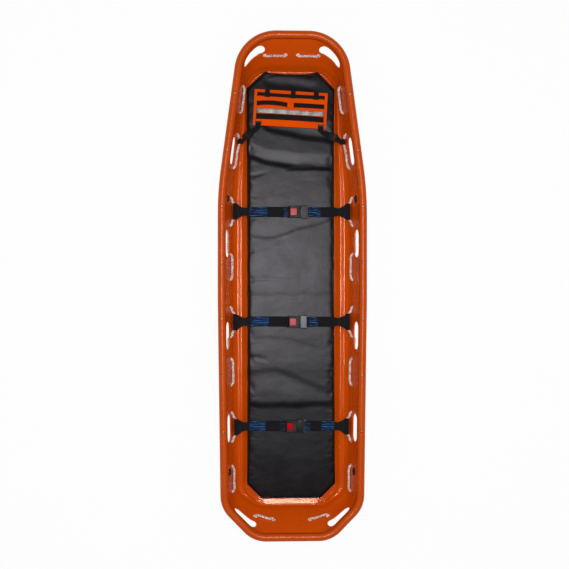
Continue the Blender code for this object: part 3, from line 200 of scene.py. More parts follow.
def black_vinyl():
    """Coated fabric: fine leather grain, soft sheen and slightly greyer worn patches."""
    look = Look("mattress_vinyl", Specular_Tint=(0.96, 0.93, 1.0), **{SPECULAR: 0.275})
    wear = look.noise(14.0, 5.0, 0.6)
    look.set(
        Base_Color=look.ramp(wear, (0.35, (0.0052, 0.0045, 0.0050)), (0.75, (0.0092, 0.0084, 0.0094))),
        Roughness=look.ramp(wear, (0.3, 0.33), (0.8, 0.39)),
    )
    grain = look.add("TexVoronoi", Vector=look.where, Scale=520.0, feature="SMOOTH_F1")
    look.bump(look.plus(grain, look.times(look.noise(34.0, 5.0, 0.6), 2.4)), 0.4, 0.0005)
    return look.mat


RIB, CORD, TWILL = 0.0016, 0.0024, 0.0019


def webbing_look(name, dark, stripe=None):
    """Woven nylon from its UV map, in metres along and across: ribs, edge cords and masked tracer lines."""
    look = Look(name, Roughness=0.62, Sheen_Weight=0.03, **{SPECULAR: 0.16})
    along, across, _ = look.split(look.add("TexCoord", out="UV"))
    twill = look.wave(look.plus(along, look.times(across, 0.7)), TWILL)
    weave = look.plus(look.times(look.wave(along, RIB), 0.5), look.times(twill, 0.5))
    weave = look.plus(weave, look.times(look.wave(across, CORD), 0.6))
    look.bump(look.plus(weave, look.times(look.noise(900.0, 3.0, 0.7), 0.8)), 0.75, 0.00035)
    light = tuple(c * 2.2 + 0.004 for c in dark)
    base = look.mix(look.math("MULTIPLY_ADD", weave, 0.18, 0.35), dark, light)
    if stripe:
        base = look.mix(tracer_lines(look, along, across), base, stripe)
    look.set(Base_Color=base)
    return look.mat


def tracer_lines(look, along, across):
    """Where thin coloured yarns wander along the webbing, within the second UV map's mask."""
    shown = look.split(look.add("UVMap", uv_map="Lines"))[0]

    def stretched(by_length, by_width, roughness):
        place = look.add("CombineXYZ", look.times(along, by_length), look.times(across, by_width))
        return look.noise(1.0, 2.0, roughness, place)
    shifted = look.plus(across, look.times(stretched(15.0, 60.0, 0.5), 0.011))
    gap = look.math("FRACT", look.math("DIVIDE", shifted, 0.0072))
    inside = look.math("LESS_THAN", look.math("ABSOLUTE", look.math("SUBTRACT", gap, 0.5)), 0.17)
    broken = look.ramp(stretched(28.0, 150.0, 0.6), (0.40, 0.10), (0.60, 1.0))
    return look.times(look.times(inside, shown), broken)


def plastic(name, colour, roughness, grain=0.25, level=0.5):
    look = Look(name, **{SPECULAR: level})
    mottle = look.noise(60.0, 4.0)
    look.set(
        Base_Color=look.ramp(mottle, (0.3, tuple(c * 0.8 for c in colour)), (0.7, colour)),
        Roughness=look.ramp(mottle, (0.3, roughness - 0.05), (0.7, roughness + 0.06)),
    )
    look.bump(look.noise(700.0), grain, 0.0003)
    return look.mat


def metal(name, colour, roughness, lip_shade, brushed=(1.0, 1.0, 1.0)):
    look = Look(name, Metallic=1.0)
    streak = look.noise(420.0, 3.0, 0.6, look.add("Mapping", Vector=look.where, Scale=brushed))
    look.set(
        Base_Color=look.ramp(look.noise(45.0, 5.0, 0.65), (0.28, lip_shade), (0.42, colour)),
        Roughness=look.math("MULTIPLY_ADD", streak, 0.22, roughness - 0.10),
    )
    look.bump(streak, 0.15, 0.0002)
    return look.mat


def rope_look():
    """White rope with a pinkish cast and dark tracer flecks."""
    look = Look("rope_fibre", Roughness=0.75, Sheen_Weight=0.2)
    along, around, _ = look.split(look.add("TexCoord", out="UV"))
    yarn = look.plus(look.times(along, TURNS / 0.0042), look.times(around, TURNS))
    look.bump(look.math("SINE", yarn), 0.6, 0.0004)
    pink = look.ramp(look.noise(85.0), (0.36, (0.88, 0.84, 0.80)), (0.60, (0.80, 0.56, 0.50)))
    flecks = look.ramp(look.noise(210.0), (0.54, 0.0), (0.60, 1.0))
    look.set(Base_Color=look.mix(look.times(flecks, 0.85), pink, (0.14, 0.05, 0.045)))
    return look.mat


def reflective_tape():
    """Silver retroreflective tape with a fine glass-bead grain, creased and dulled in places."""
    look = Look("reflective_tape", Metallic=0.35, Roughness=0.42)
    patch = look.noise(38.0, 5.0, 0.6)
    stops = ((0.30, (0.14, 0.13, 0.12)), (0.50, (0.32, 0.31, 0.30)), (0.72, (0.52, 0.51, 0.49)))
    look.set(Base_Color=look.ramp(patch, *stops))
    look.bump(look.plus(look.noise(1500.0, 1.0), look.times(patch, 3.0)), 0.4, 0.0004)
    return look.mat


def thread_look():
    look = Look("stitch_thread", Roughness=0.6)
    fuzz = look.noise(1200.0)
    look.set(Base_Color=look.ramp(fuzz, (0.3, (0.020, 0.020, 0.024)), (0.7, (0.075, 0.075, 0.085))))
    return look.mat


SHELL_ORANGE = moulded_orange(
    "shell_orange", (0.72, 0.088, 0.0012), (0.65, 0.076, 0.0010), 0.26, 0.65, (1.0, 0.66, 0.50))
BOARD_ORANGE = moulded_orange(
    "board_orange", (0.80, 0.084, 0.0010), (0.70, 0.070, 0.0008), 0.50, 0.10, (1.0, 0.40, 0.20), 0.03)
VINYL = black_vinyl()
BLACK_PLASTIC = plastic("black_plastic", (0.009, 0.009, 0.010), 0.46, level=0.24)
RED_PLASTIC = plastic("red_plastic", (0.40, 0.003, 0.006), 0.50, 0.12, 0.06)
PINK_PLASTIC = plastic("faded_red_plastic", (0.56, 0.050, 0.062), 0.50, 0.12)
GREY_COVER = plastic("cover_grey", (0.030, 0.030, 0.034), 0.54)
SILVER_COVER = plastic("cover_silver", (0.155, 0.170, 0.195), 0.46)
BLACK_COVER = plastic("cover_black", (0.008, 0.008, 0.009), 0.46, level=0.26)
ALUMINIUM = metal("aluminium_tube", (0.66, 0.67, 0.69), 0.36, (0.40, 0.40, 0.41), (1.0, 0.08, 1.0))
RIVET_METAL = metal("rivet_metal", (0.55, 0.30, 0.18), 0.42, (0.22, 0.10, 0.05))
DARK_STEEL = metal("eyelet_steel", (0.16, 0.15, 0.15), 0.30, (0.02, 0.018, 0.018))
SPRING_STEEL = metal("spring_steel", (0.55, 0.55, 0.56), 0.30, 0.30)
GREY_STEEL = metal("tongue_grey", (0.11, 0.11, 0.115), 0.50, 0.05, (0.1, 1.0, 1.0))
TAPE = reflective_tape()
ROPE_FIBRE = rope_look()
STRAP_WEAVE = webbing_look("strap_weave", (0.0050, 0.0050, 0.0065), (0.026, 0.17, 0.52))
BAND_WEAVE = webbing_look("band_weave", (0.0060, 0.0045, 0.0045))
SIDE_WEAVE = webbing_look("side_strap_weave", (0.0045, 0.0045, 0.0055))
THREAD = thread_look()


# Mesh helpers

def clamped(value):
    return max(0.0, min(1.0, value))


def eased(t):
    return t * t * (3 - 2 * t)


def runs(line):
    """How far along the line each of its points lies."""
    lengths = [0.0]
    for a, b in zip(line, line[1:]):
        lengths.append(lengths[-1] + (b - a).length)
    return lengths


def around(radius, steps):
    """Cosine and sine of even steps round a circle, times its radius."""
    angles = [TURNS * i / steps for i in range(steps)]
    return [(radius * math.cos(g), radius * math.sin(g)) for g in angles]


def added(name, mesh):
    made = bpy.data.objects.new(name, mesh)
    LINK(made)
    return made


def fill_mesh(bm, mesh):
    """Move the bmesh, with its faces turned outwards, into the mesh."""
    bmesh.ops.recalc_face_normals(bm, faces=bm.faces)
    bm.to_mesh(mesh)
    bm.free()
    return mesh


def painted(obj, mat, smooth):
    """The object in one material, shaded smooth but for edges sharper than the angle."""
    obj.data.materials.clear()
    obj.data.materials.append(mat)
    if smooth:
        obj.data.shade_smooth()
        obj.data.set_sharp_from_angle(angle=math.radians(smooth))
    return obj


def mesh_object(name, verts, faces, mat, uvs=None, smooth=40, masks=None):
    mesh = bpy.data.meshes.new(name)
    mesh.from_pydata([tuple(v) for v in verts], [], faces)
    for label, values in (("UVMap", uvs), ("Lines", masks)):
        if values:
            layer = mesh.uv_layers.new(name=label)
            for loop in mesh.loops:
                layer.data[loop.index].uv = values[loop.vertex_index]
    bm = bmesh.new()
    bm.from_mesh(mesh)
    fill_mesh(bm, mesh)
    return painted(added(name, mesh), mat, smooth)


def loft(rings, closed=False, caps=True):
    """Vertices and faces that join rings of equal count."""
    count = len(rings[0])
    verts = [p for ring in rings for p in ring]
    faces = []
    total = len(rings)
    for k in range(total if closed else total - 1):
        a = k * count
        b = ((k + 1) % total) * count
        for i in range(count):
            j = (i + 1) % count
            faces.append((a + i, a + j, b + j, b + i))
    if caps and not closed:
        faces.append(tuple(range(count)))
        faces.append(tuple(range((total - 1) * count, total * count)))
    return verts, faces


def apply_modifiers(obj):
    depsgraph = bpy.context.evaluated_depsgraph_get()
    made = bpy.data.meshes.new_from_object(obj.evaluated_get(depsgraph))
    obj.modifiers.clear()
    obj.data = made


def join(objects, name):
    """One mesh from several, keeping each one's materials and UV map."""
    for o in bpy.context.selected_objects:
        o.select_set(False)
    for o in objects:
        o.select_set(True)
    bpy.context.view_layer.objects.active = objects[0]
    bpy.ops.object.join()
    objects[0].name = name
    return objects[0]


def show(obj, body, slot, *nodes):
    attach(obj, body)
    if nodes:
        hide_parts(*nodes)
    return obj


def smooth_path(points, step, closed=False):
    """Points every step metres on a Catmull-Rom curve through the given points."""
    def between(a, b, start, end, t):
        return a * ((end - t) / (end - start)) + b * ((t - start) / (end - start))
    count = len(points)
    fine = []
    for k in range(count if closed else count - 1):
        p1, p2 = points[k], points[(k + 1) % count]
        p0 = points[k - 1] if closed or k else p1 + (p1 - p2)
        p3 = points[(k + 2) % count] if closed or k + 2 < count else p2 + (p2 - p1)
        t1, gap, last = (math.sqrt(max((b - a).length, 1e-6)) for a, b in ((p0, p1), (p1, p2), (p2, p3)))
        t2 = t1 + gap
        t3 = t2 + last
        n = max(2, int((p2 - p1).length / step * 2))
        for i in range(n):
            t = t1 + (t2 - t1) * i / n
            middle = between(p1, p2, t1, t2, t)
            b1 = between(between(p0, p1, 0.0, t1, t), middle, 0.0, t2, t)
            b2 = between(middle, between(p2, p3, t2, t3, t), t1, t3, t)
            fine.append(between(b1, b2, t1, t2, t))
    if not closed:
        fine.append(points[-1].copy())
    return resample(fine, step, closed)


def resample(points, step, closed=False):
    line = points + [points[0]] if closed else points
    lengths = runs(line)
    count = max(2, round(lengths[-1] / step))
    made = []
    k = 0
    for i in range(count if closed else count + 1):
        target = lengths[-1] * i / count
        while k < len(lengths) - 2 and lengths[k + 1] < target:
            k += 1
        span = lengths[k + 1] - lengths[k]
        made.append(line[k].lerp(line[k + 1], (target - lengths[k]) / span if span else 0.0))
    return made


def path_frames(points, closed=False):
    """A tangent and two normals at each point, turning as little as possible."""
    count = len(points)
    tangents = []
    for k in range(count):
        a = points[k - 1] if closed or k else points[k]
        b = points[(k + 1) % count] if closed or k + 1 < count else points[k]
        tangents.append((b - a).normalized())
    side = tangents[0].cross(UP)
    side = side.normalized() if side.length > 0.1 else Vector((1.0, 0.0, 0.0))
    frames = []
    for t in tangents:
        side = (side - t * side.dot(t)).normalized()
        frames.append((t, side, t.cross(side)))
    return frames


def tube(name, points, radius, mat, sides=8, closed=False):
    rings = []
    uvs = []
    total = 0.0
    for k, (p, (_, a, b)) in enumerate(zip(points, path_frames(points, closed))):
        total += (p - points[k - 1]).length if k else 0.0
        rings.append([p + a * c + b * s for c, s in around(radius, sides)])
        uvs += [(total, i / sides) for i in range(sides)]
    return mesh_object(name, *loft(rings, closed), mat, uvs)


def lathe(name, profile, place, mat, sides=40, closed=False):
    """A round piece: profile is (radius, height) pairs, place puts its axis on Z."""
    rings = [[place @ Vector((c, s, z)) for c, s in around(r, sides)] for r, z in profile]
    return mesh_object(name, *loft(rings, closed), mat)


def block(low, high):
    bm = bmesh.new()
    bmesh.ops.create_cube(bm, size=1.0)
    for v in bm.verts:
        v.co = Vector([lo + (c + 0.5) * (hi - lo) for c, lo, hi in zip(v.co, low, high)])
    return added("block", fill_mesh(bm, bpy.data.meshes.new("block")))


def add_boolean(obj, helper, kind="DIFFERENCE"):
    step = obj.modifiers.new("boolean", "BOOLEAN")
    step.operation = kind
    step.solver = "EXACT"
    step.object = helper


def rounded_off(obj, helpers, mat, bevel, segments):
    """Round the sharp edges that the booleans leave, and drop the helper blocks."""
    step = obj.modifiers.new("round", "BEVEL")
    step.width = bevel
    step.segments = segments
    step.limit_method = "ANGLE"
    step.angle_limit = math.radians(40)
    apply_modifiers(obj)
    for helper in helpers:
        bpy.data.objects.remove(helper)
    return painted(obj, mat, 50)


def rounded_box(name, low, high, mat, bevel, segments=3, cuts=(), bars=()):
    """A block with rounded edges, cut by boxes and joined with others before the rounding."""
    body = block(low, high)
    helpers = []
    for kind, boxes in (("DIFFERENCE", cuts), ("UNION", bars)):
        for box in boxes:
            helpers.append(block(*box))
            add_boolean(body, helpers[-1], kind)
    body.name = name
    return rounded_off(body, helpers, mat, bevel, segments)


# The outline of the basket

def corner_arc(before, corner, after, radius, steps):
    one = (before - corner).normalized()
    two = (after - corner).normalized()
    half = one.angle(two) / 2
    start = one * (radius / math.tan(half))
    end = two * (radius / math.tan(half))
    centre = (one + two).normalized() * (radius / math.sin(half))
    turn = (start - centre).angle(end - centre)
    points = []
    for k in range(steps + 1):
        share = k / steps
        arm = (start - centre) * math.sin((1 - share) * turn) + (end - centre) * math.sin(share * turn)
        points.append(corner + centre + arm / math.sin(turn))
    return points


def inset(points, distance):
    right = [Vector(p) for p in points]
    corners = [Vector((-right[0].x, right[0].y))] + right + [Vector((-right[-1].x, right[-1].y))]
    moved = []
    for before, corner, after in zip(corners, corners[1:], corners[2:]):
        one = (before - corner).normalized()
        two = (after - corner).normalized()
        half = one.angle(two) / 2
        moved.append(corner + (one + two).normalized() * (distance / math.sin(half)))
    return moved


def full_ring(points, radii, fine=True):
    """A closed ring, with the same number of points along every straight and corner."""
    corner_steps = (26, 6, 4, 14, 14)
    right = [Vector(p) for p in points]
    corners = right + [Vector((-p.x, p.y)) for p in reversed(right)]
    bends = list(radii) + list(reversed(radii))
    steps = list(corner_steps) + list(reversed(corner_steps))
    straight = (50, 22, 62, 4, 16, 4, 62, 22, 50, 20)
    ring = []
    arcs = []
    for i, corner in enumerate(corners):
        arcs.append(corner_arc(corners[i - 1], corner, corners[(i + 1) % len(corners)], bends[i], steps[i]))
    for i, arc in enumerate(arcs):
        ring += arc
        if fine:
            ahead = arcs[(i + 1) % len(arcs)][0]
            ring += [arc[-1].lerp(ahead, k / straight[i]) for k in range(1, straight[i])]
    return ring


def lip_ring(distance):
    return full_ring(inset(OUTER, distance), [r - distance for r in OUTER_R])


def wall_outline(across, along, fine=True, grow=0.0):
    """A ring of the wall, at shares of the way from the lip to the floor's outline."""
    points = []
    radii = []
    bulge = 0.012 * math.sin(math.pi * min(1.0, along / 0.8))
    shifts = ((0.0, 0.0), (0.0, 0.0), (0.0, 0.0), (0.0, -1.4 * bulge), (1.4 * bulge, 0.0))
    for k, (low, high) in enumerate(zip(BASE, inset(OUTER, 2 * LIP_R))):
        x = high.x + (low[0] - high.x) * across + shifts[k][0]
        points.append((x, high.y + (low[1] - high.y) * along + shifts[k][1]))
        start = OUTER_R[k] - 2 * LIP_R
        radii.append(start + (BASE_R[k] - start) * min(1.0, 1.1 * (across + along)) + grow)
    return full_ring(inset(points, -grow), radii, fine)


# The wall from its top to the floor: height, share of the way across, share of the way along
STATIONS = (
    (WALL_TOP, 0.0, 0.0), (0.1588, 0.004, 0.053), (0.104, 0.160, 0.416), (0.046, 0.318, 0.80),
    (0.0290, 0.540, 0.915), (0.0325, 0.770, 0.935), (0.0223, 0.943, 1.0), (FLOOR, 1.075, 1.30),
)


def wall_shares(z):
    for high, low in zip(STATIONS, STATIONS[1:]):
        if z >= low[0]:
            share = (high[0] - z) / (high[0] - low[0])
            return high[1] + (low[1] - high[1]) * share, high[2] + (low[2] - high[2]) * share
    return 1.0, 1.0


RINGS = {}


def wall_ring(z):
    key = round(z, 4)
    if key not in RINGS:
        RINGS[key] = wall_outline(*wall_shares(z), fine=False)
    return RINGS[key]


def wall_spot(z, target):
    """The nearest place on the wall's inner face: point, inward normal, way along, distance round."""
    ring = wall_ring(z)
    best = None
    run = 0.0
    for one, two in zip(ring, ring[1:] + ring[:1]):
        span = two - one
        if span.length < 1e-9:
            continue
        share = max(0.0, min(1.0, (Vector(target) - one).dot(span) / span.length_squared))
        point = one + span * share
        gap = (Vector(target) - point).length
        if best is None or gap < best[0]:
            along = span.normalized()
            best = (gap, point, Vector((along.y, -along.x)), along, run + span.length * share)
        run += span.length
    return best[1:]


def side_spot(z, y):
    ring = wall_ring(z)
    for one, two in zip(ring, ring[1:]):
        if one.x > 0 and two.x > 0 and two.y <= y <= one.y and one.y != two.y:
            return tuple(one.lerp(two, (one.y - y) / (one.y - two.y)))
    return WIDTH / 2, y


def wall_place(z, target, tilted=False, depth=WALL / 2):
    point, inward, along, _ = wall_spot(z, target)
    inward = Vector((inward.x, inward.y, 0.0))
    along = Vector((along.x, along.y, 0.0))
    out = inward
    if tilted:
        lower = wall_spot(z - 0.02, target)[0] - point
        out = (inward + UP * (lower.dot(Vector((inward.x, inward.y))) / 0.02)).normalized()
    turn = Matrix((along, out.cross(along), out)).transposed().to_4x4()
    return Matrix.Translation(Vector((point.x, point.y, z)) - out * depth) @ turn


def both_sides(places):
    return [(side * x, y) for x, y in places for side in (1, -1)]


SLOT_Z = 0.1312
SLOTS = [side_spot(SLOT_Z, 0.5816 - 0.398 * k) for k in range(4)] + [(0.170, 0.994), (0.2035, -0.997)]
SLOTS = both_sides(SLOTS)
SLOT_SIZES = [(0.124, 0.055)] * 8 + [(0.120, 0.048)] * 4
LIFT_Z = 0.128
LIFTS = both_sides([side_spot(LIFT_Z, 0.376), side_spot(LIFT_Z, -0.802)])


# Each visible stretch of rope: distance from the foot end, length
STRETCHES = (
    (0.278, 0.118), (0.503, 0.150), (0.766, 0.124), (1.007, 0.114),
    (1.247, 0.131), (1.464, 0.118), (1.704, 0.128), (1.930, 0.114),
)


def rope_holes():
    side = []
    for from_foot, stretch in STRETCHES:
        for reach in (stretch / 2, -stretch / 2):
            side.append((*side_spot(ROPE_Z, LENGTH / 2 - from_foot + reach), ROPE_Z))
    foot = [(x, LENGTH / 2, 0.094) for x in (0.026, 0.136)]
    head = [(0.182, -LENGTH / 2, ROPE_Z), (0.078, -LENGTH / 2, 0.100)]
    right = foot + side + head
    return right + [(-x, y, z) for x, y, z in reversed(right)]


def stadium(length, height, steps=12):
    radius = height / 2
    reach = length / 2 - radius
    points = []
    for side, start in ((1, -math.pi / 2), (-1, math.pi / 2)):
        for k in range(steps + 1):
            angle = start + math.pi * k / steps
            points.append((side * reach + radius * math.cos(angle), radius * math.sin(angle)))
    return points


# The shell

def wall_section():
    """The wall's stations with each bend rounded, down to the raised bead beside the mattress."""
    raw = [(0.0, 0.0, LIP_Z)] + [(across, along, z) for z, across, along in STATIONS]
    rounding = (0.0, 0.45, 0.45, 0.25, 0.35, 0.28, 0.22, 0.30, 0.0)
    fine = []
    for k, point in enumerate(raw):
        if not rounding[k]:
            fine.append(point)
            continue
        before = [p + (q - p) * (1 - rounding[k]) for p, q in zip(raw[k - 1], point)]
        after = [p + (q - p) * rounding[k] for p, q in zip(point, raw[k + 1])]
        for i in range(9):
            t = i / 8
            shares = ((1 - t) ** 2, 2 * t * (1 - t), t * t)
            corners = zip(before, point, after)
            fine.append(tuple(a * shares[0] + b * shares[1] + c * shares[2] for a, b, c in corners))
    dense = [fine[0]]
    for p, q in zip(fine, fine[1:]):
        gap = max(abs(q[2] - p[2]), abs(q[0] - p[0]) * 0.086)
        count = max(1, round(gap / 0.006))
        for i in range(1, count + 1):
            dense.append(tuple(a + (b - a) * i / count for a, b in zip(p, q)))
    return dense


def lip_rings(start, radius):
    rings = [(lip_ring(start + 0.0007), 0.1578), (lip_ring(start), 0.1592), (lip_ring(start), 0.166)]
    for k in range(17):
        angle = math.pi - math.pi * k / 16
        rings.append((lip_ring(LIP_R + radius * math.cos(angle)), LIP_Z + radius * math.sin(angle)))
    return [[Vector((p.x, p.y, z)) for p in ring] for ring, z in rings]


# The plain slope at either end: shares of the way along, and the heights there
END_SLOPES = {
    1: ((0.80, 0.90, 1.00, 1.30), (0.046, 0.0285, 0.0165, FLOOR)),
    -1: ((0.80, 0.86, 0.92, 1.00, 1.30), (0.046, 0.0340, 0.0262, 0.0232, FLOOR)),
}


def laid(points, along, z, below=0.0):
    """A ring at its height, where the bead of the sides fades into each end's plain slope."""
    foot, head = (np.interp(along, *END_SLOPES[k]) for k in (1, -1))
    ring = []
    for p in points:
        share = eased(clamped((abs(p.y) - 0.70) / 0.20)) if along > 0.80 else 0.0
        corner = 1.0 if p.y > 0 else clamped((abs(p.x) - 0.120) / 0.035)
        end = head + (foot - head) * corner
        ring.append(Vector((p.x, p.y, z + (end - z) * share - below)))
    return ring


def shell_rings():
    """The inner and the outer skin, each from the lip's lower edge to the floor."""
    inner, outer = lip_rings(0.0, LIP_R), lip_rings(WALL, LIP_R - WALL)
    section = wall_section()
    for before, (across, along, z), after in zip(section, section[1:], section[2:] + section[-1:]):
        inner.append(laid(wall_outline(across, along), along, z))
        fall = before[2] - after[2]
        lean = math.atan2(fall, 0.086 * (after[0] - before[0]))
        if along < 0.85:
            lean = (lean + math.atan2(fall, 0.100 * (after[1] - before[1]))) / 2
        ring = wall_outline(across, along, grow=WALL * 1.1 * math.sin(lean))
        outer.append(laid(ring, along, z, WALL * math.cos(lean)))
    return inner, outer


def add_strip(bm, upper, lower):
    for i in range(len(upper)):
        j = (i + 1) % len(upper)
        bm.faces.new((upper[i], upper[j], lower[j], lower[i]))


def add_prism(bm, shape, place, depth):
    rings = [[bm.verts.new(place @ Vector((x, y, h))) for x, y in shape] for h in (-depth / 2, depth / 2)]
    for ring in rings:
        bm.faces.new(ring)
    add_strip(bm, *rings)


def cut_away(obj, name, prisms):
    bm = bmesh.new()
    for prism in prisms:
        add_prism(bm, *prism)
    cutter = added(name, fill_mesh(bm, bpy.data.meshes.new(name)))
    add_boolean(obj, cutter)
    apply_modifiers(obj)
    bpy.data.objects.remove(cutter)


def make_shell():
    bm = bmesh.new()
    skins = [[[bm.verts.new(p) for p in ring] for ring in rings] for rings in shell_rings()]
    strips = [(skins[0][0], skins[1][0])]
    for skin in skins:
        strips += list(zip(skin, skin[1:]))
        bm.faces.new(skin[-1])
    for strip in strips:
        add_strip(bm, *strip)
    shell = added("shell_skin", fill_mesh(bm, bpy.data.meshes.new("shell_skin")))
    slots = [(stadium(length + 0.004, height + 0.004), wall_place(SLOT_Z, target), 0.080)
             for target, (length, height) in zip(SLOTS, SLOT_SIZES)]
    holes = [(around(0.0105, 20), wall_place(z, (x, y)), 0.040) for x, y, z in rope_holes()]
    eyes = [(around(0.0133, 24), wall_place(LIFT_Z, target, True), 0.020) for target in LIFTS]
    # All the cutters in one boolean make the shell vanish
    for name, prisms in (("slot_cuts", slots), ("hole_cuts", holes + eyes)):
        cut_away(shell, name, prisms)
    painted(shell, SHELL_ORANGE, 35)
    show(join([shell] + edge_rolls() + runners(), "shell_skin"), "basket", "orange_shell", "shell")


def edge_rolls():
    """The rounded moulded edge of every hand slot and rope hole."""
    rolls = []
    for n, (target, (length, height)) in enumerate(zip(SLOTS, SLOT_SIZES)):
        rolls.append(edge_roll("slot_edge_%d" % n, stadium(length, height, 16), SLOT_Z, target, 0.006))
    for n, (x, y, z) in enumerate(rope_holes()):
        rolls.append(edge_roll("hole_edge_%d" % n, around(0.0095, 20), z, (x, y), 0.004))
    return rolls


def edge_roll(name, shape, z, target, step, radius=0.0023):
    """A bead that follows the flat shape's edge where it meets the leaning, curving wall."""
    place = wall_place(z, target)
    out = (place.to_3x3() @ UP).to_2d()
    points = []
    for flat in resample([Vector((x, y, 0.0)) for x, y in shape], step / 2, True):
        spot = place @ flat
        ring = wall_ring(spot.z)
        met = []
        for one, two in zip(ring, ring[1:] + ring[:1]):
            span, gap = two - one, one - spot.to_2d()
            turn = out.cross(span)
            if abs(turn) >= 1e-12 and 0.0 <= gap.cross(out) / turn <= 1.0:
                met.append((gap.cross(span) / turn, Vector((span.y, -span.x)).normalized()))
        reach, inward = min(met, key=lambda hit: abs(hit[0]))
        foot = spot.to_2d() + out * reach - inward * (WALL / 2)
        points.append(Vector((foot.x, foot.y, spot.z)))
    return tube(name, resample(points, step, True), radius, SHELL_ORANGE, 8, True)


def runners():
    """Four moulded skid ridges under the floor, with rounded flanks and ramped ends."""
    made = []
    end = ((-0.75, 0.0135), (-0.735, 0.008), (-0.71, 0.002), (-0.695, 0.0))
    for n, x in enumerate((-0.172, -0.062, 0.062, 0.172)):
        rings = []
        for y, z in end + tuple((-y, z) for y, z in reversed(end)):
            half = ((-0.013, 0.0140), (-0.0105, min(z + 0.003, 0.0138)), (-0.008, z))
            section = half + tuple((-a, b) for a, b in reversed(half))
            rings.append([Vector((x + a, y, b)) for a, b in section])
        made.append(mesh_object("runner_%d" % n, *loft(rings), SHELL_ORANGE))
    return made


# Rope

PULLS = (0.324, -0.157, -0.614)
HUG, PULL = 0.0078, 0.0190
CLIP_Y = 0.631
ROPE_STEP = 0.0035


def rope_offset(y):
    """How far the rope stands off the wall: drawn in where a strap is looped over it."""
    drawn = max(1.0 - max(0.0, abs(y - place) - 0.026) / 0.028 for place in PULLS)
    clip = 1.0 - abs(y - CLIP_Y) / 0.045
    return max(HUG + (PULL - HUG) * eased(clamped(drawn)), HUG + (0.0125 - HUG) * clamped(clip * 1.4))


def rope_path():
    holes = rope_holes()
    ring = wall_ring(ROPE_Z)
    lengths = runs(ring + ring[:1])

    def ring_point(distance):
        distance %= lengths[-1]
        for k in range(len(ring)):
            if distance <= lengths[k + 1] and lengths[k + 1] > lengths[k]:
                share = (distance - lengths[k]) / (lengths[k + 1] - lengths[k])
                return ring[k].lerp(ring[(k + 1) % len(ring)], share)
        return ring[0]

    def rope_point(distance, offset, z):
        spot, inward, _, _ = wall_spot(z, ring_point(distance))
        place = spot + inward * offset
        return Vector((place.x, place.y, z))

    distances = [wall_spot(ROPE_Z, wall_spot(z, (x, y))[0])[3] for x, y, z in holes]
    through = (-0.0115, -0.0085, 0.004, HUG)
    random.seed(4)
    points = []
    for k, hole in enumerate(holes):
        following = holes[(k + 1) % len(holes)]
        here, there = distances[k], distances[(k + 1) % len(holes)]
        inside = not k % 2
        raised = 0.005 if abs(hole[1]) > 1.0 else 0.0
        for shift, offset in zip((-0.019, -0.005, 0.005, 0.019), through if inside else through[::-1]):
            points.append(rope_point(here + shift, offset, hole[2] + (raised if offset == HUG else 0.0)))
        if there < here:
            there += lengths[-1]
        start, end = here + 0.019, there - 0.019
        corner = abs(hole[1]) > 0.87 and abs(following[1]) > 0.87 and abs(hole[0]) > 0.1
        dip = 0.014 if corner else 0.005
        count = max(1, round((end - start) / 0.012))
        swing = [random.uniform(-1, 1) for _ in range(3)]
        for i in range(1, count):
            t = i / count
            z = hole[2] + (following[2] - hole[2]) * t
            z += raised if inside else -dip * 4 * t * (1 - t)
            sag = 0.0012 * sum(w * math.sin(math.pi * t * (n + 1)) for n, w in enumerate(swing))
            y = ring_point(start + (end - start) * t).y
            offset = rope_offset(y) if inside and abs(y) < 0.95 else (HUG if inside else through[0])
            points.append(rope_point(start + (end - start) * t, offset + sag * 0.5, z + sag))
    return smooth_path(points, ROPE_STEP, True)


def make_rope():
    """Three strands laid round the route, 36 mm to a turn."""
    path = rope_path()
    twist = TURNS * round(len(path) * ROPE_STEP / 0.036) / len(path)
    frames = path_frames(path, True)
    strands = []
    for s in range(3):
        line = []
        for k, (p, (_, a, b)) in enumerate(zip(path, frames)):
            g = twist * k + TURNS * s / 3
            line.append(p + a * (0.0029 * math.cos(g)) + b * (0.0029 * math.sin(g)))
        strands.append(tube("rope_strand_%d" % s, line, 0.00265, ROPE_FIBRE, 8, True))
    show(join(strands, "laced_rope"), "basket", "rope_white", "perimeter_rope")


# Fixings

def nodes_called(start):
    return [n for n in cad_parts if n.startswith(start)]


def make_rivets():
    domes = []
    nodes = nodes_called("rim_rivet")
    profile = ((0.0024, -0.008), (0.0024, 0.0001), (0.0056, 0.0001), (0.0056, 0.0005),
               (0.0050, 0.0013), (0.0036, 0.0020), (0.0016, 0.0023), (0.0002, 0.0023))
    for node in nodes:
        low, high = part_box(node)
        place = Matrix.Translation(((low.x + high.x) / 2, (low.y + high.y) / 2, HEIGHT))
        domes.append(lathe("rivet", profile, place, RIVET_METAL, 20))
    show(join(domes, "rim_rivets"), "basket", "aluminium", *nodes)


def make_grommets():
    """An eyelet at each lifting hole, the same on both faces of the wall."""
    half = ((0.0105, 0.0036), (0.0113, 0.0044), (0.0125, 0.0047), (0.0160, 0.0041),
            (0.0175, 0.0031), (0.0174, 0.0021), (0.0130, 0.0021))
    profile = ((0.0105, 0.0),) + half + tuple((r, -h) for r, h in reversed(half))
    places = [wall_place(LIFT_Z, target, True) for target in LIFTS]
    rings = [lathe("grommet", profile, place, DARK_STEEL, 36, True) for place in places]
    show(join(rings, "lifting_eyelets"), "basket", "dark_steel", *nodes_called("lifting_grommet"))


# Mattress

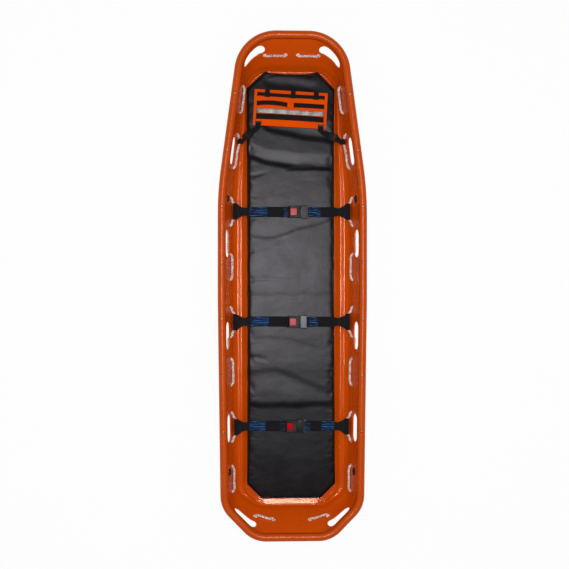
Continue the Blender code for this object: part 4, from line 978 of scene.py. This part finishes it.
CREASES = (
    # points from left to right, depth, width of the steep side, width of the slow return, which way it falls
    (((-0.12, 0.865), (0.12, 0.835)), 0.0024, 0.030, 0.040, 1),
    (((-0.13, 0.685), (-0.10, 0.672), (0.04, 0.640), (0.19, 0.620)), 0.0040, 0.028, 0.080, 1),
    (((-0.20, 0.560), (-0.13, 0.535), (-0.075, 0.520), (-0.02, 0.512), (0.08, 0.506), (0.20, 0.506)),
     0.0042, 0.026, 0.055, 1),
    (((-0.02, 0.500), (0.02, 0.508), (0.20, 0.509)), 0.0014, 0.008, 0.015, 1),
    (((-0.20, 0.472), (-0.155, 0.474), (-0.11, 0.483)), 0.0012, 0.010, 0.018, 1),
    (((-0.20, 0.222), (-0.155, 0.206), (-0.11, 0.197), (-0.075, 0.202), (-0.027, 0.219), (0.03, 0.239),
      (0.105, 0.259), (0.20, 0.284)), 0.0013, 0.020, 0.060, 1),
    (((-0.20, 0.124), (0.013, 0.209)), 0.0004, 0.014, 0.014, 1),
    (((-0.20, 0.018), (-0.093, 0.018), (0.013, 0.011)), 0.0007, 0.010, 0.020, 1),
    (((-0.20, -0.063), (0.20, -0.062)), 0.0010, 0.014, 0.030, 1),
    (((-0.18, -0.215), (-0.02, -0.219), (0.14, -0.263)), 0.0006, 0.018, 0.050, -1),
    (((-0.20, -0.302), (-0.146, -0.301), (-0.106, -0.309)), 0.0009, 0.012, 0.020, -1),
    (((-0.20, -0.369), (-0.13, -0.356), (-0.067, -0.349), (-0.005, -0.369), (0.05, -0.395), (0.12, -0.427),
      (0.20, -0.456)), 0.0016, 0.036, 0.080, -1),
    (((-0.20, -0.508), (-0.005, -0.510), (0.20, -0.502)), 0.0034, 0.028, 0.300, -1),
)


def pad_outline(distance, pull=0.003):
    """The cover's outline, drawn in between its corners and puckered along the sides."""
    half_x, foot, head = 0.1935, 0.943, 0.936
    slope = math.tan(math.pi / 8) * distance

    def side(sign, seed):
        low, high = -(head - 0.066 - slope), foot - 0.076 - slope
        line = []
        for k in range(61):
            t = k / 60
            puckers = 0.0016 * noise.noise(Vector((t * 30.0, seed, 3.0)))
            x = half_x - distance - pull * math.sin(math.pi * t) ** 0.5 + puckers
            line.append((sign * x - 0.003 * t, low + (high - low) * t))
        return line

    def end(y, cut, dip):
        reach = half_x - cut - slope
        line = []
        for k in range(13):
            t = k / 12
            inward = distance + dip * math.sin(math.pi * t) ** 0.5
            line.append((reach - 2 * reach * t, y - math.copysign(inward, y)))
        return line
    head_line = end(-head, 0.066, 0.6 * pull)[::-1]
    return side(1, 0.0) + end(foot, 0.078, 4.0 * pull) + side(-1, 7.0)[::-1] + head_line


def pad_points(pad):
    flat = np.zeros(len(pad.data.vertices) * 3)
    pad.data.vertices.foreach_get("co", flat)
    return flat.reshape(-1, 3)


def move_points(pad, points):
    pad.data.vertices.foreach_set("co", points.ravel())
    pad.data.update()


def make_mattress():
    """The cover, remeshed evenly, blown up as cloth, pressed into the folds and made finer."""
    layers = ((0.010, 0.0168), (0.001, 0.0200), (0.0, 0.030), (0.0003, 0.0450), (0.0010, 0.0515),
              (0.0035, 0.0548), (0.009, 0.0560), (0.05, 0.0562), (0.10, 0.0562))
    rings = [[Vector((x, y, z)) for x, y in pad_outline(d)] for d, z in layers]
    pad = mesh_object("mattress_cover", *loft(rings), VINYL)
    remesh = pad.modifiers.new("even", "REMESH")
    remesh.mode = "VOXEL"
    remesh.voxel_size = 0.006
    remesh.use_smooth_shade = True
    apply_modifiers(pad)
    simulate(pad)
    shape_pad(pad)
    painted(pad, VINYL, 0)
    smooth = pad.modifiers.new("fine", "SUBSURF")
    smooth.levels = 1
    smooth.render_levels = 1
    apply_modifiers(pad)
    pad.data.shade_smooth()
    show(pad, "basket", "black_vinyl", "mattress")
    make_piping()


CLOTH = dict(
    quality=4, mass=0.3, tension_stiffness=18, compression_stiffness=18, shear_stiffness=8,
    bending_stiffness=0.6, use_pressure=True, uniform_pressure_force=4.0,
    vertex_group_mass="pinned", shrink_min=-0.035,
)
CLOTH_FRAMES = 20


def simulate(pad):
    """Blow the cover up a little against its seams, so that it wrinkles as coated fabric does."""
    rest = pad_points(pad)
    group = pad.vertex_groups.new(name="pinned")
    group.add([i for i, p in enumerate(rest) if p[2] < 0.030], 1.0, "REPLACE")
    cloth = pad.modifiers.new("cloth", "CLOTH")
    for key, value in CLOTH.items():
        setattr(cloth.settings, key, value)
    cloth.settings.effector_weights.gravity = 0.0
    cloth.collision_settings.use_collision = False
    cloth.point_cache.frame_start = 1
    cloth.point_cache.frame_end = CLOTH_FRAMES
    for number in range(1, CLOTH_FRAMES + 1):
        SCENE.frame_set(number)
    apply_modifiers(pad)
    SCENE.frame_set(1)
    limit = np.array((0.004, 0.006, 0.0045))
    move_points(pad, rest + limit * np.tanh((pad_points(pad) - rest) / limit))


def edge_distance(co):
    """How far each point lies inside the cover's straight sides and cut corners."""
    x, y = np.abs(co[:, 0] + 0.0015), co[:, 1]
    foot_corner, head_corner = 0.192 + 0.940 - 0.078, 0.192 + 0.935 - 0.066
    gaps = (0.192 - x, 0.940 - y, y + 0.935, (foot_corner - x - y) / 1.4142, (head_corner - x + y) / 1.4142)
    return np.clip(np.minimum.reduce(gaps), 0.0, None)


def shape_pad(pad):
    """Press the photographed folds into the cover and lay small wrinkles between them."""
    co = pad_points(pad)
    x, y = co[:, 0], co[:, 1]
    top = np.clip((co[:, 2] - 0.040) / 0.012, 0.0, 1.0)
    lift = np.zeros(len(co))
    for line, depth, steep, slow, fall in CREASES:
        xs, ys = zip(*line)
        wander = 0.0016 * np.sin(x * 47.0 + ys[0] * 30.0)
        off = (y - np.interp(x, xs, ys) - wander) * fall
        fade = np.clip((x - xs[0] + 0.010) / 0.03, 0.0, 1.0) * np.clip((xs[-1] + 0.010 - x) / 0.04, 0.0, 1.0)
        down = eased(np.clip(off / steep, 0.0, 1.0))
        lift -= fade * depth * down * (1.0 - eased(np.clip((off - steep) / slow, 0.0, 1.0)))
    for i in np.flatnonzero(top > 0.0):
        px, py = co[i][:2]
        fine = noise.noise(Vector((px * 9.0, py * 13.0, 1.0))) * 0.0007
        fine += noise.noise(Vector((px * 22.0, py * 40.0, 5.0))) * 0.00016
        edge_gap = 0.19 - abs(px + 0.002)
        if edge_gap < 0.05:
            fine += noise.noise(Vector((px * 12.0, py * 75.0, 9.0))) * 0.0009 * (1.0 - edge_gap / 0.05)
        lift[i] += fine
    edge = edge_distance(co)
    flat = 0.0574 - 0.0070 * (1.0 - np.clip(edge / 0.006, 0.0, 1.0)) ** 2.4
    flat -= 0.028 * np.clip(-0.50 - y, 0.0, None) + 0.022 * np.clip(y - 0.72, 0.0, None)
    share = np.clip((co[:, 2] - 0.046) / 0.006, 0.0, 1.0)
    co[:, 2] += share * (flat - co[:, 2]) * 0.82
    co[:, 2] += lift * top * np.clip(edge / 0.010, 0.2, 1.0)
    co[:, 2] = np.clip(co[:, 2], 0.0165, PAD_TOP + 0.0012)
    move_points(pad, co)


def make_piping():
    """The welted seam round the top and bottom edges of the cover."""
    pipes = []
    for height, distance in ((0.0462, 0.0016), (0.0212, 0.0010)):
        points = []
        for x, y in pad_outline(distance):
            z = height + 0.0006 * noise.noise(Vector((x * 30, y * 30, height * 90)))
            points.append(Vector((x, y, z)))
        clean = [p for k, p in enumerate(points) if (p - points[k - 1]).length > 1e-4]
        pipes.append(tube("piping", resample(clean, 0.006, True), 0.0019, VINYL, 8, True))
    show(join(pipes, "mattress_piping"), "basket", "black_vinyl")


# Straps

def ribbon(name, path, thickness, mat, closed=False, step=0.002, mask=None):
    """Webbing with rounded edges along (point, across, width) knots, with a UV map in metres."""
    points = [p for p, _, _ in path]
    line = smooth_path(points, step, closed)
    knots = points + [points[0]] if closed else points
    half = ((-1, -0.5), (-0.55, -0.5), (0, -0.5), (0.55, -0.5), (1, -0.5), (1, 0.0))
    rings, uvs, masks = [], [], []
    run = 0.0
    nearest = 0
    for k, p in enumerate(line):
        run += (p - line[k - 1]).length if k else 0.0
        while nearest < len(knots) - 2:
            span = knots[nearest + 1] - knots[nearest]
            if (p - knots[nearest]).dot(span) <= span.length_squared:
                break
            nearest += 1
        a, b = knots[nearest], knots[nearest + 1]
        share = clamped((p - a).dot(b - a) / max((b - a).length_squared, 1e-12))
        _, across, width = path[nearest % len(path)]
        _, next_across, next_width = path[(nearest + 1) % len(path)]
        across = across.lerp(next_across, share).normalized()
        width += (next_width - width) * share
        before = line[k - 1] if closed or k else p
        after = line[(k + 1) % len(line)] if closed or k + 1 < len(line) else p
        normal = (after - before).normalized().cross(across).normalized()
        wave = 0.00018 * noise.noise(Vector((run * 55, 1.0, 2.0)))
        section = []
        for s, h in half + tuple((-s, -h) for s, h in half):
            reach = s * (width / 2 - thickness * 0.35 if h else width / 2)
            section.append(p + across * reach + normal * (h * thickness + wave))
            uvs.append((run, reach))
            masks.append((mask(section[-1]) if mask else 0.0, 0.0))
        rings.append(section)
    return mesh_object(name, *loft(rings, closed), mat, uvs, 60, masks if mask else None)


def stitch_line(name, points, normal=UP, step=0.0040, length=0.0026, radius=0.00035):
    """A row of short raised stitches on a surface, along the given points."""
    line = resample(points, step)
    verts, faces = [], []
    for a, b in zip(line, line[1:]):
        way = (b - a).normalized()
        side = way.cross(normal).normalized()
        rings = []
        for shift, size in ((-0.5, 0.35), (-0.25, 1.0), (0.25, 1.0), (0.5, 0.35)):
            p = (a + b) / 2 + way * (length * shift)
            rings.append([p + side * c + normal * s for c, s in around(radius * size, 5)])
        v, f = loft(rings)
        faces += [tuple(i + len(verts) for i in face) for face in f]
        verts += v
    return mesh_object(name, verts, faces, THREAD, smooth=0)


# Name, Y, middle of the buckle, looks, tails, and where blue yarns show: X from, X to, strength
STRAPS = (
    ("leg_strap", 0.324, 0.013, GREY_COVER, PINK_PLASTIC, 0.100, 0.034,
     ((-0.186, -0.104, 1.0), (-0.036, -0.012, 0.7), (0.070, 0.130, 0.9))),
    ("hip_strap", -0.157, 0.010, SILVER_COVER, PINK_PLASTIC, 0.092, 0.034,
     ((-0.182, -0.096, 1.0), (0.074, 0.118, 0.9))),
    ("chest_strap", -0.614, -0.002, BLACK_COVER, RED_PLASTIC, 0.085, 0.095,
     ((-0.186, -0.110, 1.0), (-0.054, -0.022, 0.35), (0.050, 0.084, 0.6), (0.130, 0.190, 0.9))),
)


WEB_WIDTH = 0.045
# The sewn triangle over the rope: distance back from the rope, rise over the strap's line, width
WAIST = (
    (0.070, 0.0010, 0.0445), (0.057, 0.0012, 0.0385), (0.046, 0.0013, 0.0335),
    (0.034, 0.0014, 0.0370), (0.022, 0.0026, 0.0485), (0.011, 0.0052, 0.0625),
)


def half_strap(name, side, y, middle, bar, wrap, tail):
    """One side of a restraint strap, from its tail round the bar to the loop sewn over the rope."""
    x = side_spot(ROPE_Z, y)[0]
    along = wall_spot(ROPE_Z, (side * x, y))[2].to_3d()
    rope_across = along * math.copysign(1.0, along.y)
    bar_s = side * middle + bar
    bar_z = PAD_TOP + 0.0095
    rest = PAD_TOP + 0.0018
    folded = rest + 0.0024
    lift = 0.160
    hub = Vector((x - PULL, ROPE_Z))
    way = (hub - Vector((lift, rest))).normalized()
    over = Vector((-way.y, way.x))
    knots = [(bar_s + s, folded + rise) for s, rise in ((tail, 0.0004), (0.030, 0.0008), (0.016, 0.0020))]
    for k in range(7):
        angle = math.radians(80 + 200 * k / 6)
        knots.append((bar_s + wrap * math.cos(angle), bar_z + wrap * math.sin(angle)))
    knots += [(bar_s + 0.014, rest), (bar_s + 0.05, rest), (lift - 0.010, rest)]
    knots = [(*knot, WEB_WIDTH) for knot in knots] + [(lift + 0.012, rest + 0.0022, 0.0445)]
    for back, rise, width in WAIST:
        knots.append((*(hub - way * back + over * rise), width))
    for k in range(9):
        angle = math.atan2(way.y, way.x) + math.radians(105 - 26.25 * k)
        knots.append((hub.x + 0.0078 * math.cos(angle), hub.y + 0.0078 * math.sin(angle), 0.073))
    for back, rise, width in WAIST[:0:-1]:
        knots.append((*(hub - way * back - over * (rise + 0.0002)), width - 0.001))
    random.seed(name)
    drift = random.uniform(-0.0015, 0.0015)
    path = []
    for s, z, width in knots:
        across = rope_across if width > 0.05 else Vector((0.0, 1.0, 0.0))
        path.append((Vector((side * s, y + drift * math.sin(s * 14.0), z)), across, width))
    return path, hub, way, over, rope_across


def make_strap(name, y, middle, cover_plastic, button_plastic, left_tail, right_tail, spans):
    def mask(p):
        for low, high, strength in spans:
            if low < p.x < high:
                return strength * min(1.0, (p.x - low) / 0.006, (high - p.x) / 0.006)
        return 0.0
    sides = (("left", -1, 0.0261, 0.0050, left_tail), ("right", 1, 0.06475, 0.0052, right_tail))
    for label, side, bar, wrap, tail in sides:
        path, *flare = half_strap(name + label, side, y, middle, bar, wrap, tail)
        strap = ribbon(name + "_web_" + label, path, 0.0018, STRAP_WEAVE, mask=mask)
        made = join([strap] + flare_stitches(side, y, *flare), name + "_web_" + label)
        node = name + "_webbing_" + label
        if side < 0:
            show(made, "basket", "black_webbing", node)
            continue
        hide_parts(node)
        start, end = (middle + 0.082, y, PAD_TOP), (0.165, y, PAD_TOP)
        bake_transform(made)
        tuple(start)
        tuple(end)
    make_buckle(name, y)
    make_tongue(name, y, cover_plastic)
    make_button(name, button_plastic)
    spring = name + "_spring"
    copy = painted(added(name + "_leaf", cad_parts[spring].data.copy()), SPRING_STEEL, 0)
    show(copy, "basket", "bright_steel", spring)
    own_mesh(copy)


def flare_stitches(side, y, hub, way, over, across):
    """Two rows of stitching and a cross on the sewn triangle over the rope."""
    backs, rises, _ = zip(*WAIST[::-1])

    def spot(back, lateral):
        flat = hub - way * back + over * (float(np.interp(back, backs, rises)) + 0.0012)
        return Vector((side * flat.x, y, flat.y)) + across * lateral
    normal = Vector((side * over.x, 0.0, over.y)).normalized()
    edge = ((0.012, 0.0265), (0.022, 0.0205), (0.034, 0.0155), (0.043, 0.0140))
    rows = [[spot(back, sign * reach) for back, reach in edge] for sign in (1, -1)]
    rows += [[spot(back, -reach), spot(back, reach)] for back, reach in (edge[0], edge[-1], (0.016, 0.0235))]
    for sign in (1, -1):
        rows.append([spot(0.016, -sign * 0.0225), spot(0.030, -sign * 0.003), spot(0.042, sign * 0.013)])
    return [stitch_line("stitches", row, normal) for row in rows]


def make_buckle(name, y):
    low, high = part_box(name + "_buckle")
    x = (low.x + high.x) / 2
    cuts = [
        ((low.x - 0.01, y - 0.0229, low.z - 0.01), (low.x + 0.009, y + 0.0229, high.z + 0.01)),
        ((x - 0.0183, y - 0.0158, PAD_TOP + 0.0122), (x + 0.0103, y + 0.0158, high.z + 0.01)),
        ((x - 0.004, y - 0.0134, PAD_TOP + 0.0079), (high.x + 0.01, y + 0.0134, PAD_TOP + 0.0111)),
    ]
    bars = [((low.x, y - 0.0235, PAD_TOP + 0.0070), (low.x + 0.0038, y + 0.0235, PAD_TOP + 0.0120))]
    pieces = [rounded_box(name + "_housing", low, high, BLACK_PLASTIC, 0.0012, 3, cuts, bars)]
    corners = ((-0.0196, -0.0170), (0.0116, -0.0170), (0.0116, 0.0170), (-0.0196, 0.0170))
    rim = resample([Vector((x + u, y + v, high.z - 0.0002)) for u, v in corners], 0.002, True)
    pieces.append(tube(name + "_pocket_rim", rim, 0.0007, BLACK_PLASTIC, 6, True))
    head = ((0.0019, -0.001), (0.0019, 0.0003), (0.0014, 0.0007), (0.0001, 0.0008))
    for v in (-0.0215, 0.0215):
        place = Matrix.Translation((x + 0.0205, y + v, high.z - 0.0003))
        pieces.append(lathe("screw", head, place, GREY_STEEL, 16))
    show(join(pieces, name + "_housing"), "basket", "black_plastic", name + "_buckle")


def make_button(name, mat):
    low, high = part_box(name + "_button")
    inset_y = Vector((0.0, 0.0036, 0.0))
    body = rounded_box(name + "_push", low + inset_y, high - inset_y, mat, 0.0013, 4)
    show(body, name + "_button", "red_button", name + "_button")


def make_tongue(name, y, cover_plastic):
    low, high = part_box(name + "_tongue")
    x, top = low.x + 0.002, high.z
    shape = [(-0.002, -0.009), (0.002, -0.013), (0.0285, -0.013), (0.029, -0.0135), (0.031, -0.0262),
             (0.0345, -0.029), (0.0640, -0.029), (0.068, -0.025)]
    shape += [(u, -v) for u, v in reversed(shape)]
    rings = [[Vector((x + u, y + v, z)) for u, v in shape] for z in (low.z, top)]
    plate = mesh_object("plate", *loft(rings), GREY_STEEL, smooth=0)
    helpers = []
    for start, end, half in ((0.0582, 0.0615, 0.0228), (0.004, 0.012, 0.006)):
        corners = (x + start, y - half, low.z - 0.01), (x + end, y + half, top + 0.01)
        helpers.append(rounded_box("helper", *corners, GREY_STEEL, 0.0001, 1))
        add_boolean(plate, helpers[-1])
    pieces = [rounded_off(plate, helpers, GREY_STEEL, 0.0006, 2)]
    corners = (x + 0.0305, y - 0.0285, top - 0.0002), (x + 0.0555, y + 0.0285, top + 0.0020)
    pieces.append(rounded_box("cover", *corners, cover_plastic, 0.0014, 4))
    for v in (-0.0277, 0.0277):
        corners = (x + 0.0300, y + v - 0.0017, top - 0.0003), (x + 0.0560, y + v + 0.0017, top + 0.0023)
        pieces.append(rounded_box("cap", *corners, BLACK_COVER, 0.0008, 2))
    show(join(pieces, name + "_latch_plate"), name + "_tongue", "bright_steel", name + "_tongue")


# Footboard

AXIS = Vector((-0.009, 0.700, 0.06703))
TURN = Matrix.Rotation(math.radians(-3.0), 4, "Z")
BOARD = Matrix.Translation(AXIS) @ TURN
BOARD_SIDE = TURN.to_3x3() @ Vector((1.0, 0.0, 0.0))
BOARD_UP = TURN.to_3x3() @ Vector((0.0, 1.0, 0.0))


# Name, U from, U to, V of the slots and the band, widths of both, then bow and sag
BANDS = (
    ("band_upper", -0.146, 0.146, 0.132, 0.133, 0.016, 0.0155, (0.0012, -0.0022)),
    ("band_middle_left", -0.146, -0.016, 0.092, 0.090, 0.020, 0.019, (0.0042, 0.0065)),
    ("band_middle_right", 0.016, 0.146, 0.092, 0.092, 0.020, 0.0195, (0.0014, 0.0006)),
    ("band_lower", -0.146, 0.146, 0.035, 0.035, 0.025, 0.024, (0.0016, 0.0016)),
    ("reflective_strip", -0.146, 0.146, 0.0605, 0.0605, 0.020, 0.0200, (0.0012, 0.0)),
)
LOOPS = (("left", -0.104), ("middle", 0.009), ("right", 0.110))
LOOP_ROUTE = (
    (0.1234, -0.0041), (0.1232, 0.0), (0.1234, 0.0052), (0.1262, 0.0065), (0.132, 0.0066),
    (0.139, 0.0068), (0.1445, 0.0082), (0.1485, 0.0087), (0.1520, 0.0083), (0.1530, 0.0060),
    (0.1531, 0.0), (0.1528, -0.0034), (0.1500, -0.0043), (0.136, -0.0043),
)


def make_board_plate():
    """The plate in its own frame: u across, v up from the hinge line, slots cut from the top down."""
    back, front, border = -0.003, 0.003, 0.0075
    under, past = back - 0.01, border + 0.01
    cuts = []
    for _, left, right, v, _, width, _, _ in sorted(BANDS, key=lambda band: -band[3]):
        reach = width / 2 + 0.00125
        cuts += [((u - 0.0021, v - reach, under), (u + 0.0021, v + reach, past)) for u in (left, right)]
    cuts += [((u - 0.01225, 0.1211, under), (u + 0.01225, 0.1253, past)) for _, u in LOOPS]
    for u in (-0.137, 0.137):
        cuts.append(((u - 0.01375, 0.0045, under), (u + 0.01375, 0.0145, past)))
        cuts.append(((u - 0.01375, -0.02, front), (u + 0.01375, 0.0046, past)))
    cuts.append(((-0.1535, 0.002, front), (0.1535, 0.1455, past)))
    corners = (-0.160, -0.0045, back), (0.160, 0.152, border)
    plate = rounded_box("footboard_panel", *corners, BOARD_ORANGE, 0.0011, 3, cuts)
    plate.data.transform(BOARD)
    show(plate, "footboard", "orange_board", "footboard_plate")


def band_knots(left, right, bow):
    """A band's route in at one slot, over the plate's face and out at the other: U and height."""
    over, under = 0.0042, -0.0041
    turn = ((-0.011, under), (-0.004, under), (-0.0006, under + 0.0012),
            (-0.0002, 0.0), (0.0, over - 0.0016), (0.003, over))
    steps = max(2, int((right - left) / 0.03))
    middle = []
    for k in range(1, steps):
        t = k / steps
        rise = bow * math.sin(math.pi * t) * (1 + 0.4 * math.sin(9 * t))
        middle.append((left + (right - left) * t, over + rise))
    return [(left + u, z) for u, z in turn] + middle + [(right - u, z) for u, z in reversed(turn)]


def make_board():
    make_board_plate()
    for label, left, right, _, v, _, width, (bow, drift) in BANDS:
        strip = label == "reflective_strip"
        path = []
        for u, z in band_knots(left, right, bow):
            share = (u - left + 0.011) / (right - left + 0.022)
            path.append((BOARD @ Vector((u, v + drift * math.sin(math.pi * share), z)), BOARD_UP, width))
        name = "tape_strip" if strip else label
        band = ribbon(name, path, 0.0015, TAPE if strip else BAND_WEAVE, step=0.0018)
        show(band, "footboard", "reflective" if strip else "black_webbing", "footboard_" + label)
    for label, u in LOOPS:
        path = [(BOARD @ Vector((u, v, z)), BOARD_SIDE, 0.021) for v, z in LOOP_ROUTE]
        pieces = [ribbon("top_loop_" + label, path, 0.0015, BAND_WEAVE, True, 0.0018)]
        for v in (0.1262, 0.1405):
            row = [BOARD @ Vector((u + shift, v, 0.0074)) for shift in (-0.009, 0.009)]
            pieces.append(stitch_line("loop_stitches", row))
        show(join(pieces, "top_loop_" + label), "footboard", "black_webbing", "footboard_loop_" + label)


def clip_matrix(side):
    """The clip's frame, midway between the footboard's bar and the rope, with both ends of the strap."""
    bar = BOARD @ Vector((side * 0.137, 0.0, 0.0))
    x, y = side_spot(ROPE_Z, CLIP_Y)
    spot, inward, along, _ = wall_spot(ROPE_Z, (side * x, y))
    rope = (spot + inward * rope_offset(spot.y)).to_3d() + UP * ROPE_Z
    start = bar + Vector((side * 0.010, -0.020, 0.0015))
    way = (rope - start).normalized()
    across = Vector((-way.y, way.x, 0.0)).normalized()
    turn = Matrix((way, across, way.cross(across))).transposed().to_4x4()
    return Matrix.Translation(start.lerp(rope, 0.5) - way * 0.003) @ turn, bar, rope, along.to_3d()


def make_side_strap(side, label):
    """The side-release clip along its own X, with the plug's prongs inside the socket, and its webbing."""
    place, bar, rope, along = clip_matrix(side)
    mouth, end = -0.007, 0.019
    base = mouth - 0.0123
    prong = 0.0024
    slot = 0.0133

    def clip_half(name, start, stop, cuts, bars, extras, body, node):
        corners = (start, -0.016, -0.0045), (stop, 0.016, 0.0045)
        pieces = [rounded_box(name + label, *corners, BLACK_PLASTIC, 0.0009, 3, cuts, bars)]
        for low, high, bevel in extras:
            pieces.append(rounded_box("extra", low, high, BLACK_PLASTIC, bevel, 2))
        made = join(pieces, name + label)
        made.data.transform(place)
        show(made, body, "black_plastic", node)
    cuts = [
        ((mouth - 0.01, -0.0135, -prong), (mouth + 0.0168, 0.0135, prong)),
        ((mouth + 0.009, -0.03, -prong), (mouth + 0.0145, 0.03, prong)),
        ((end - 0.0085, -slot, -0.02), (end + 0.01, slot, 0.02)),
    ]
    bars = [((end - 0.003, -0.0145, -0.0015), (end, 0.0145, 0.0015))]
    ridge = ((mouth + 0.0015, -0.010, 0.0042), (mouth + 0.0040, 0.010, 0.0052), 0.0004)
    female = "footboard_clip_" + label + "_female"
    clip_half("clip_socket_", mouth, end, cuts, bars, [ridge], "basket", female)
    cuts = [((base - 0.01, -slot, -0.02), (base + 0.0085, slot, 0.02))]
    bars = [((base, -0.0145, -0.0015), (base + 0.003, 0.0145, 0.0015))]
    prongs = []
    for near, far, tip, thick in ((-0.0130, -0.0090, 0.0155, 0.0021), (0.0090, 0.0130, 0.0155, 0.0021),
                                  (-0.0026, 0.0026, 0.0145, 0.0018)):
        prongs.append(((mouth - 0.002, near, -thick), (mouth + tip, far, thick), 0.0007))
    male = "footboard_clip_" + label + "_male"
    clip_half("clip_plug_", base, mouth - 0.0003, cuts, bars, prongs, male, male)
    side_webs(label, place, bar, rope, along, base + 0.0015, end - 0.0015)


def side_webs(label, place, bar, rope, along, male_bar, female_bar):
    """The strap's webbing: plate to clip in two pieces, and clip to rope."""
    turn = place.to_3x3()
    clip_way = (turn @ Vector((1.0, 0.0, 0.0))).normalized()
    clip_across = (turn @ Vector((0.0, 1.0, 0.0))).normalized()
    clip_up = clip_way.cross(clip_across).normalized()
    if clip_up.z < 0:
        clip_up.negate()
    if clip_across.dot(BOARD_SIDE) < 0:
        clip_across.negate()

    def wrapped(centre, across, way, up, radius, start, turned, width):
        """Knots of webbing turned round a bar."""
        points = []
        for k in range(10):
            angle = math.radians(start + turned * k / 9)
            point = centre + way * (radius * math.cos(angle)) + up * (radius * math.sin(angle))
            points.append((point, across, width))
        return points

    def reach(share, start, end, one, two):
        return start.lerp(end, share), one.lerp(two, share).normalized(), 0.0245
    a = place @ Vector((male_bar, 0.0, 0.0))
    start, end = bar - BOARD_UP * 0.012 + UP * 0.004, a - clip_way * 0.010 + clip_up * 0.0018
    run = (start, end, BOARD_SIDE, clip_across)
    near = wrapped(bar, BOARD_SIDE, -BOARD_UP, UP, 0.0068, -50, -250, 0.024)
    near += [reach(share, *run) for share in (0.0, 0.30, 0.58)]
    far = [reach(share, *run) for share in (0.42, 0.70, 1.0)]
    far += wrapped(a, clip_across, clip_way, clip_up, 0.0035, 120, -240, 0.0242)
    upper = ribbon("side_web_plate_" + label, near, 0.0014, SIDE_WEAVE, step=0.0016)
    lower = ribbon("side_web_clip_" + label, far, 0.0013, SIDE_WEAVE, step=0.0016)
    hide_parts("footboard_strap_" + label + "_inner")
    tuple(start)
    tuple(far[0][0])
    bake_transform(upper)
    tuple(near[-1][0])
    tuple(end)
    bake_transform(lower)
    rope_across = along if along.dot(clip_across) > 0 else -along
    rope_way = rope_across.cross(UP)
    if rope_way.dot(clip_way) < 0:
        rope_way.negate()
    b = place @ Vector((female_bar, 0.0, 0.0))
    start, end = b + clip_way * 0.008 + clip_up * 0.0018, rope - rope_way * 0.012 + UP * 0.0045
    run = (start, end, clip_across, rope_across)
    path = wrapped(b, clip_across, clip_way, clip_up, 0.0035, 300, -240, 0.0245)
    path += [reach(share, *run) for share in (0.0, 0.5, 1.0)]
    path += wrapped(rope, rope_across, rope_way, UP, 0.0072, 110, -240, 0.024)
    outer = ribbon("side_web_outer_" + label, path, 0.0014, SIDE_WEAVE, step=0.0016)
    show(outer, "basket", "black_webbing", "footboard_strap_" + label + "_outer")


# Floor, light and camera

def make_stage():
    """A pale floor that adds a little white of its own to what the camera sees, and to nothing else."""
    look = Look("studio_floor", Roughness=0.9, **{SPECULAR: 0.1})
    look.set(Base_Color=look.ramp(look.noise(3.0, 3.0), (0.3, 0.93), (0.7, 0.95)))
    seen = look.times(look.add("LightPath", out="Is Camera Ray"), 0.93)
    glow = look.add("Emission", Color=(1.0, 1.0, 1.0), Strength=1.0)
    blend = look.add("MixShader", seen, look.shader.outputs[0], glow)
    look.feed(look.tree.nodes["Material Output"].inputs["Surface"], blend)
    verts = [(-9, -9, 0), (9, -9, 0), (9, 9, 0), (-9, 9, 0)]
    mesh_object("studio_floor", verts, [(0, 1, 2, 3)], look.mat, smooth=0)


def make_world():
    """Soft white light, dim in reflections, in front of a white backdrop."""
    world = bpy.data.worlds.new("studio")
    SCENE.world = world
    world.use_nodes = True
    world.cycles.sampling_method = "NONE"
    world.node_tree.nodes.clear()
    graph = Graph(world.node_tree)
    rays = graph.add("LightPath").node.outputs
    soft, dim, white = (graph.add("Background", Color=(1.0, 1.0, 1.0), Strength=s) for s in (0.46, 0.03, 1.0))
    lit = graph.add("MixShader", rays["Is Glossy Ray"], soft, dim)
    final = graph.add("MixShader", rays["Is Camera Ray"], lit, white)
    out = world.node_tree.nodes.new("ShaderNodeOutputWorld")
    graph.feed(out.inputs["Surface"], final)


def make_light():
    """One soft box above the basket."""
    data = bpy.data.lights.new("soft_box", "AREA")
    data.shape = "RECTANGLE"
    data.size = 0.60
    data.size_y = 1.10
    data.energy = 92.0
    added("soft_box", data).location = (-0.10, 0.14, 4.3)


def make_camera():
    data = bpy.data.cameras.new("camera")
    data.sensor_width = 36.0
    data.lens = 59.6
    place = Vector((-0.181, 0.0105, 4.190))
    way = (Vector((-0.035, 0.0065, 0.190)) - place).normalized()
    right = Vector((1.0, 0.0, 0.0))
    right = (right - way * right.dot(way)).normalized()
    camera = added("camera", data)
    turn = Matrix((right, right.cross(way), -way)).transposed().to_4x4()
    camera.matrix_world = Matrix.Translation(place) @ turn
    SCENE.camera = camera


def leave_cad_nodes():
    """The rim tube and its sleeves keep their exact solids and get their real finish."""
    for name in ("frame_tube_left", "frame_tube_right", "tube_spigot_foot", "tube_spigot_head"):
        painted(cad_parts[name], ALUMINIUM, 0)


leave_cad_nodes()
make_shell()
make_rope()
make_rivets()
make_grommets()
make_mattress()
for strap in STRAPS:
    make_strap(*strap)
make_board()
make_side_strap(1, "right")
make_side_strap(-1, "left")
make_stage()
make_world()
make_light()
make_camera()
SCENE.view_settings.view_transform = "Standard"
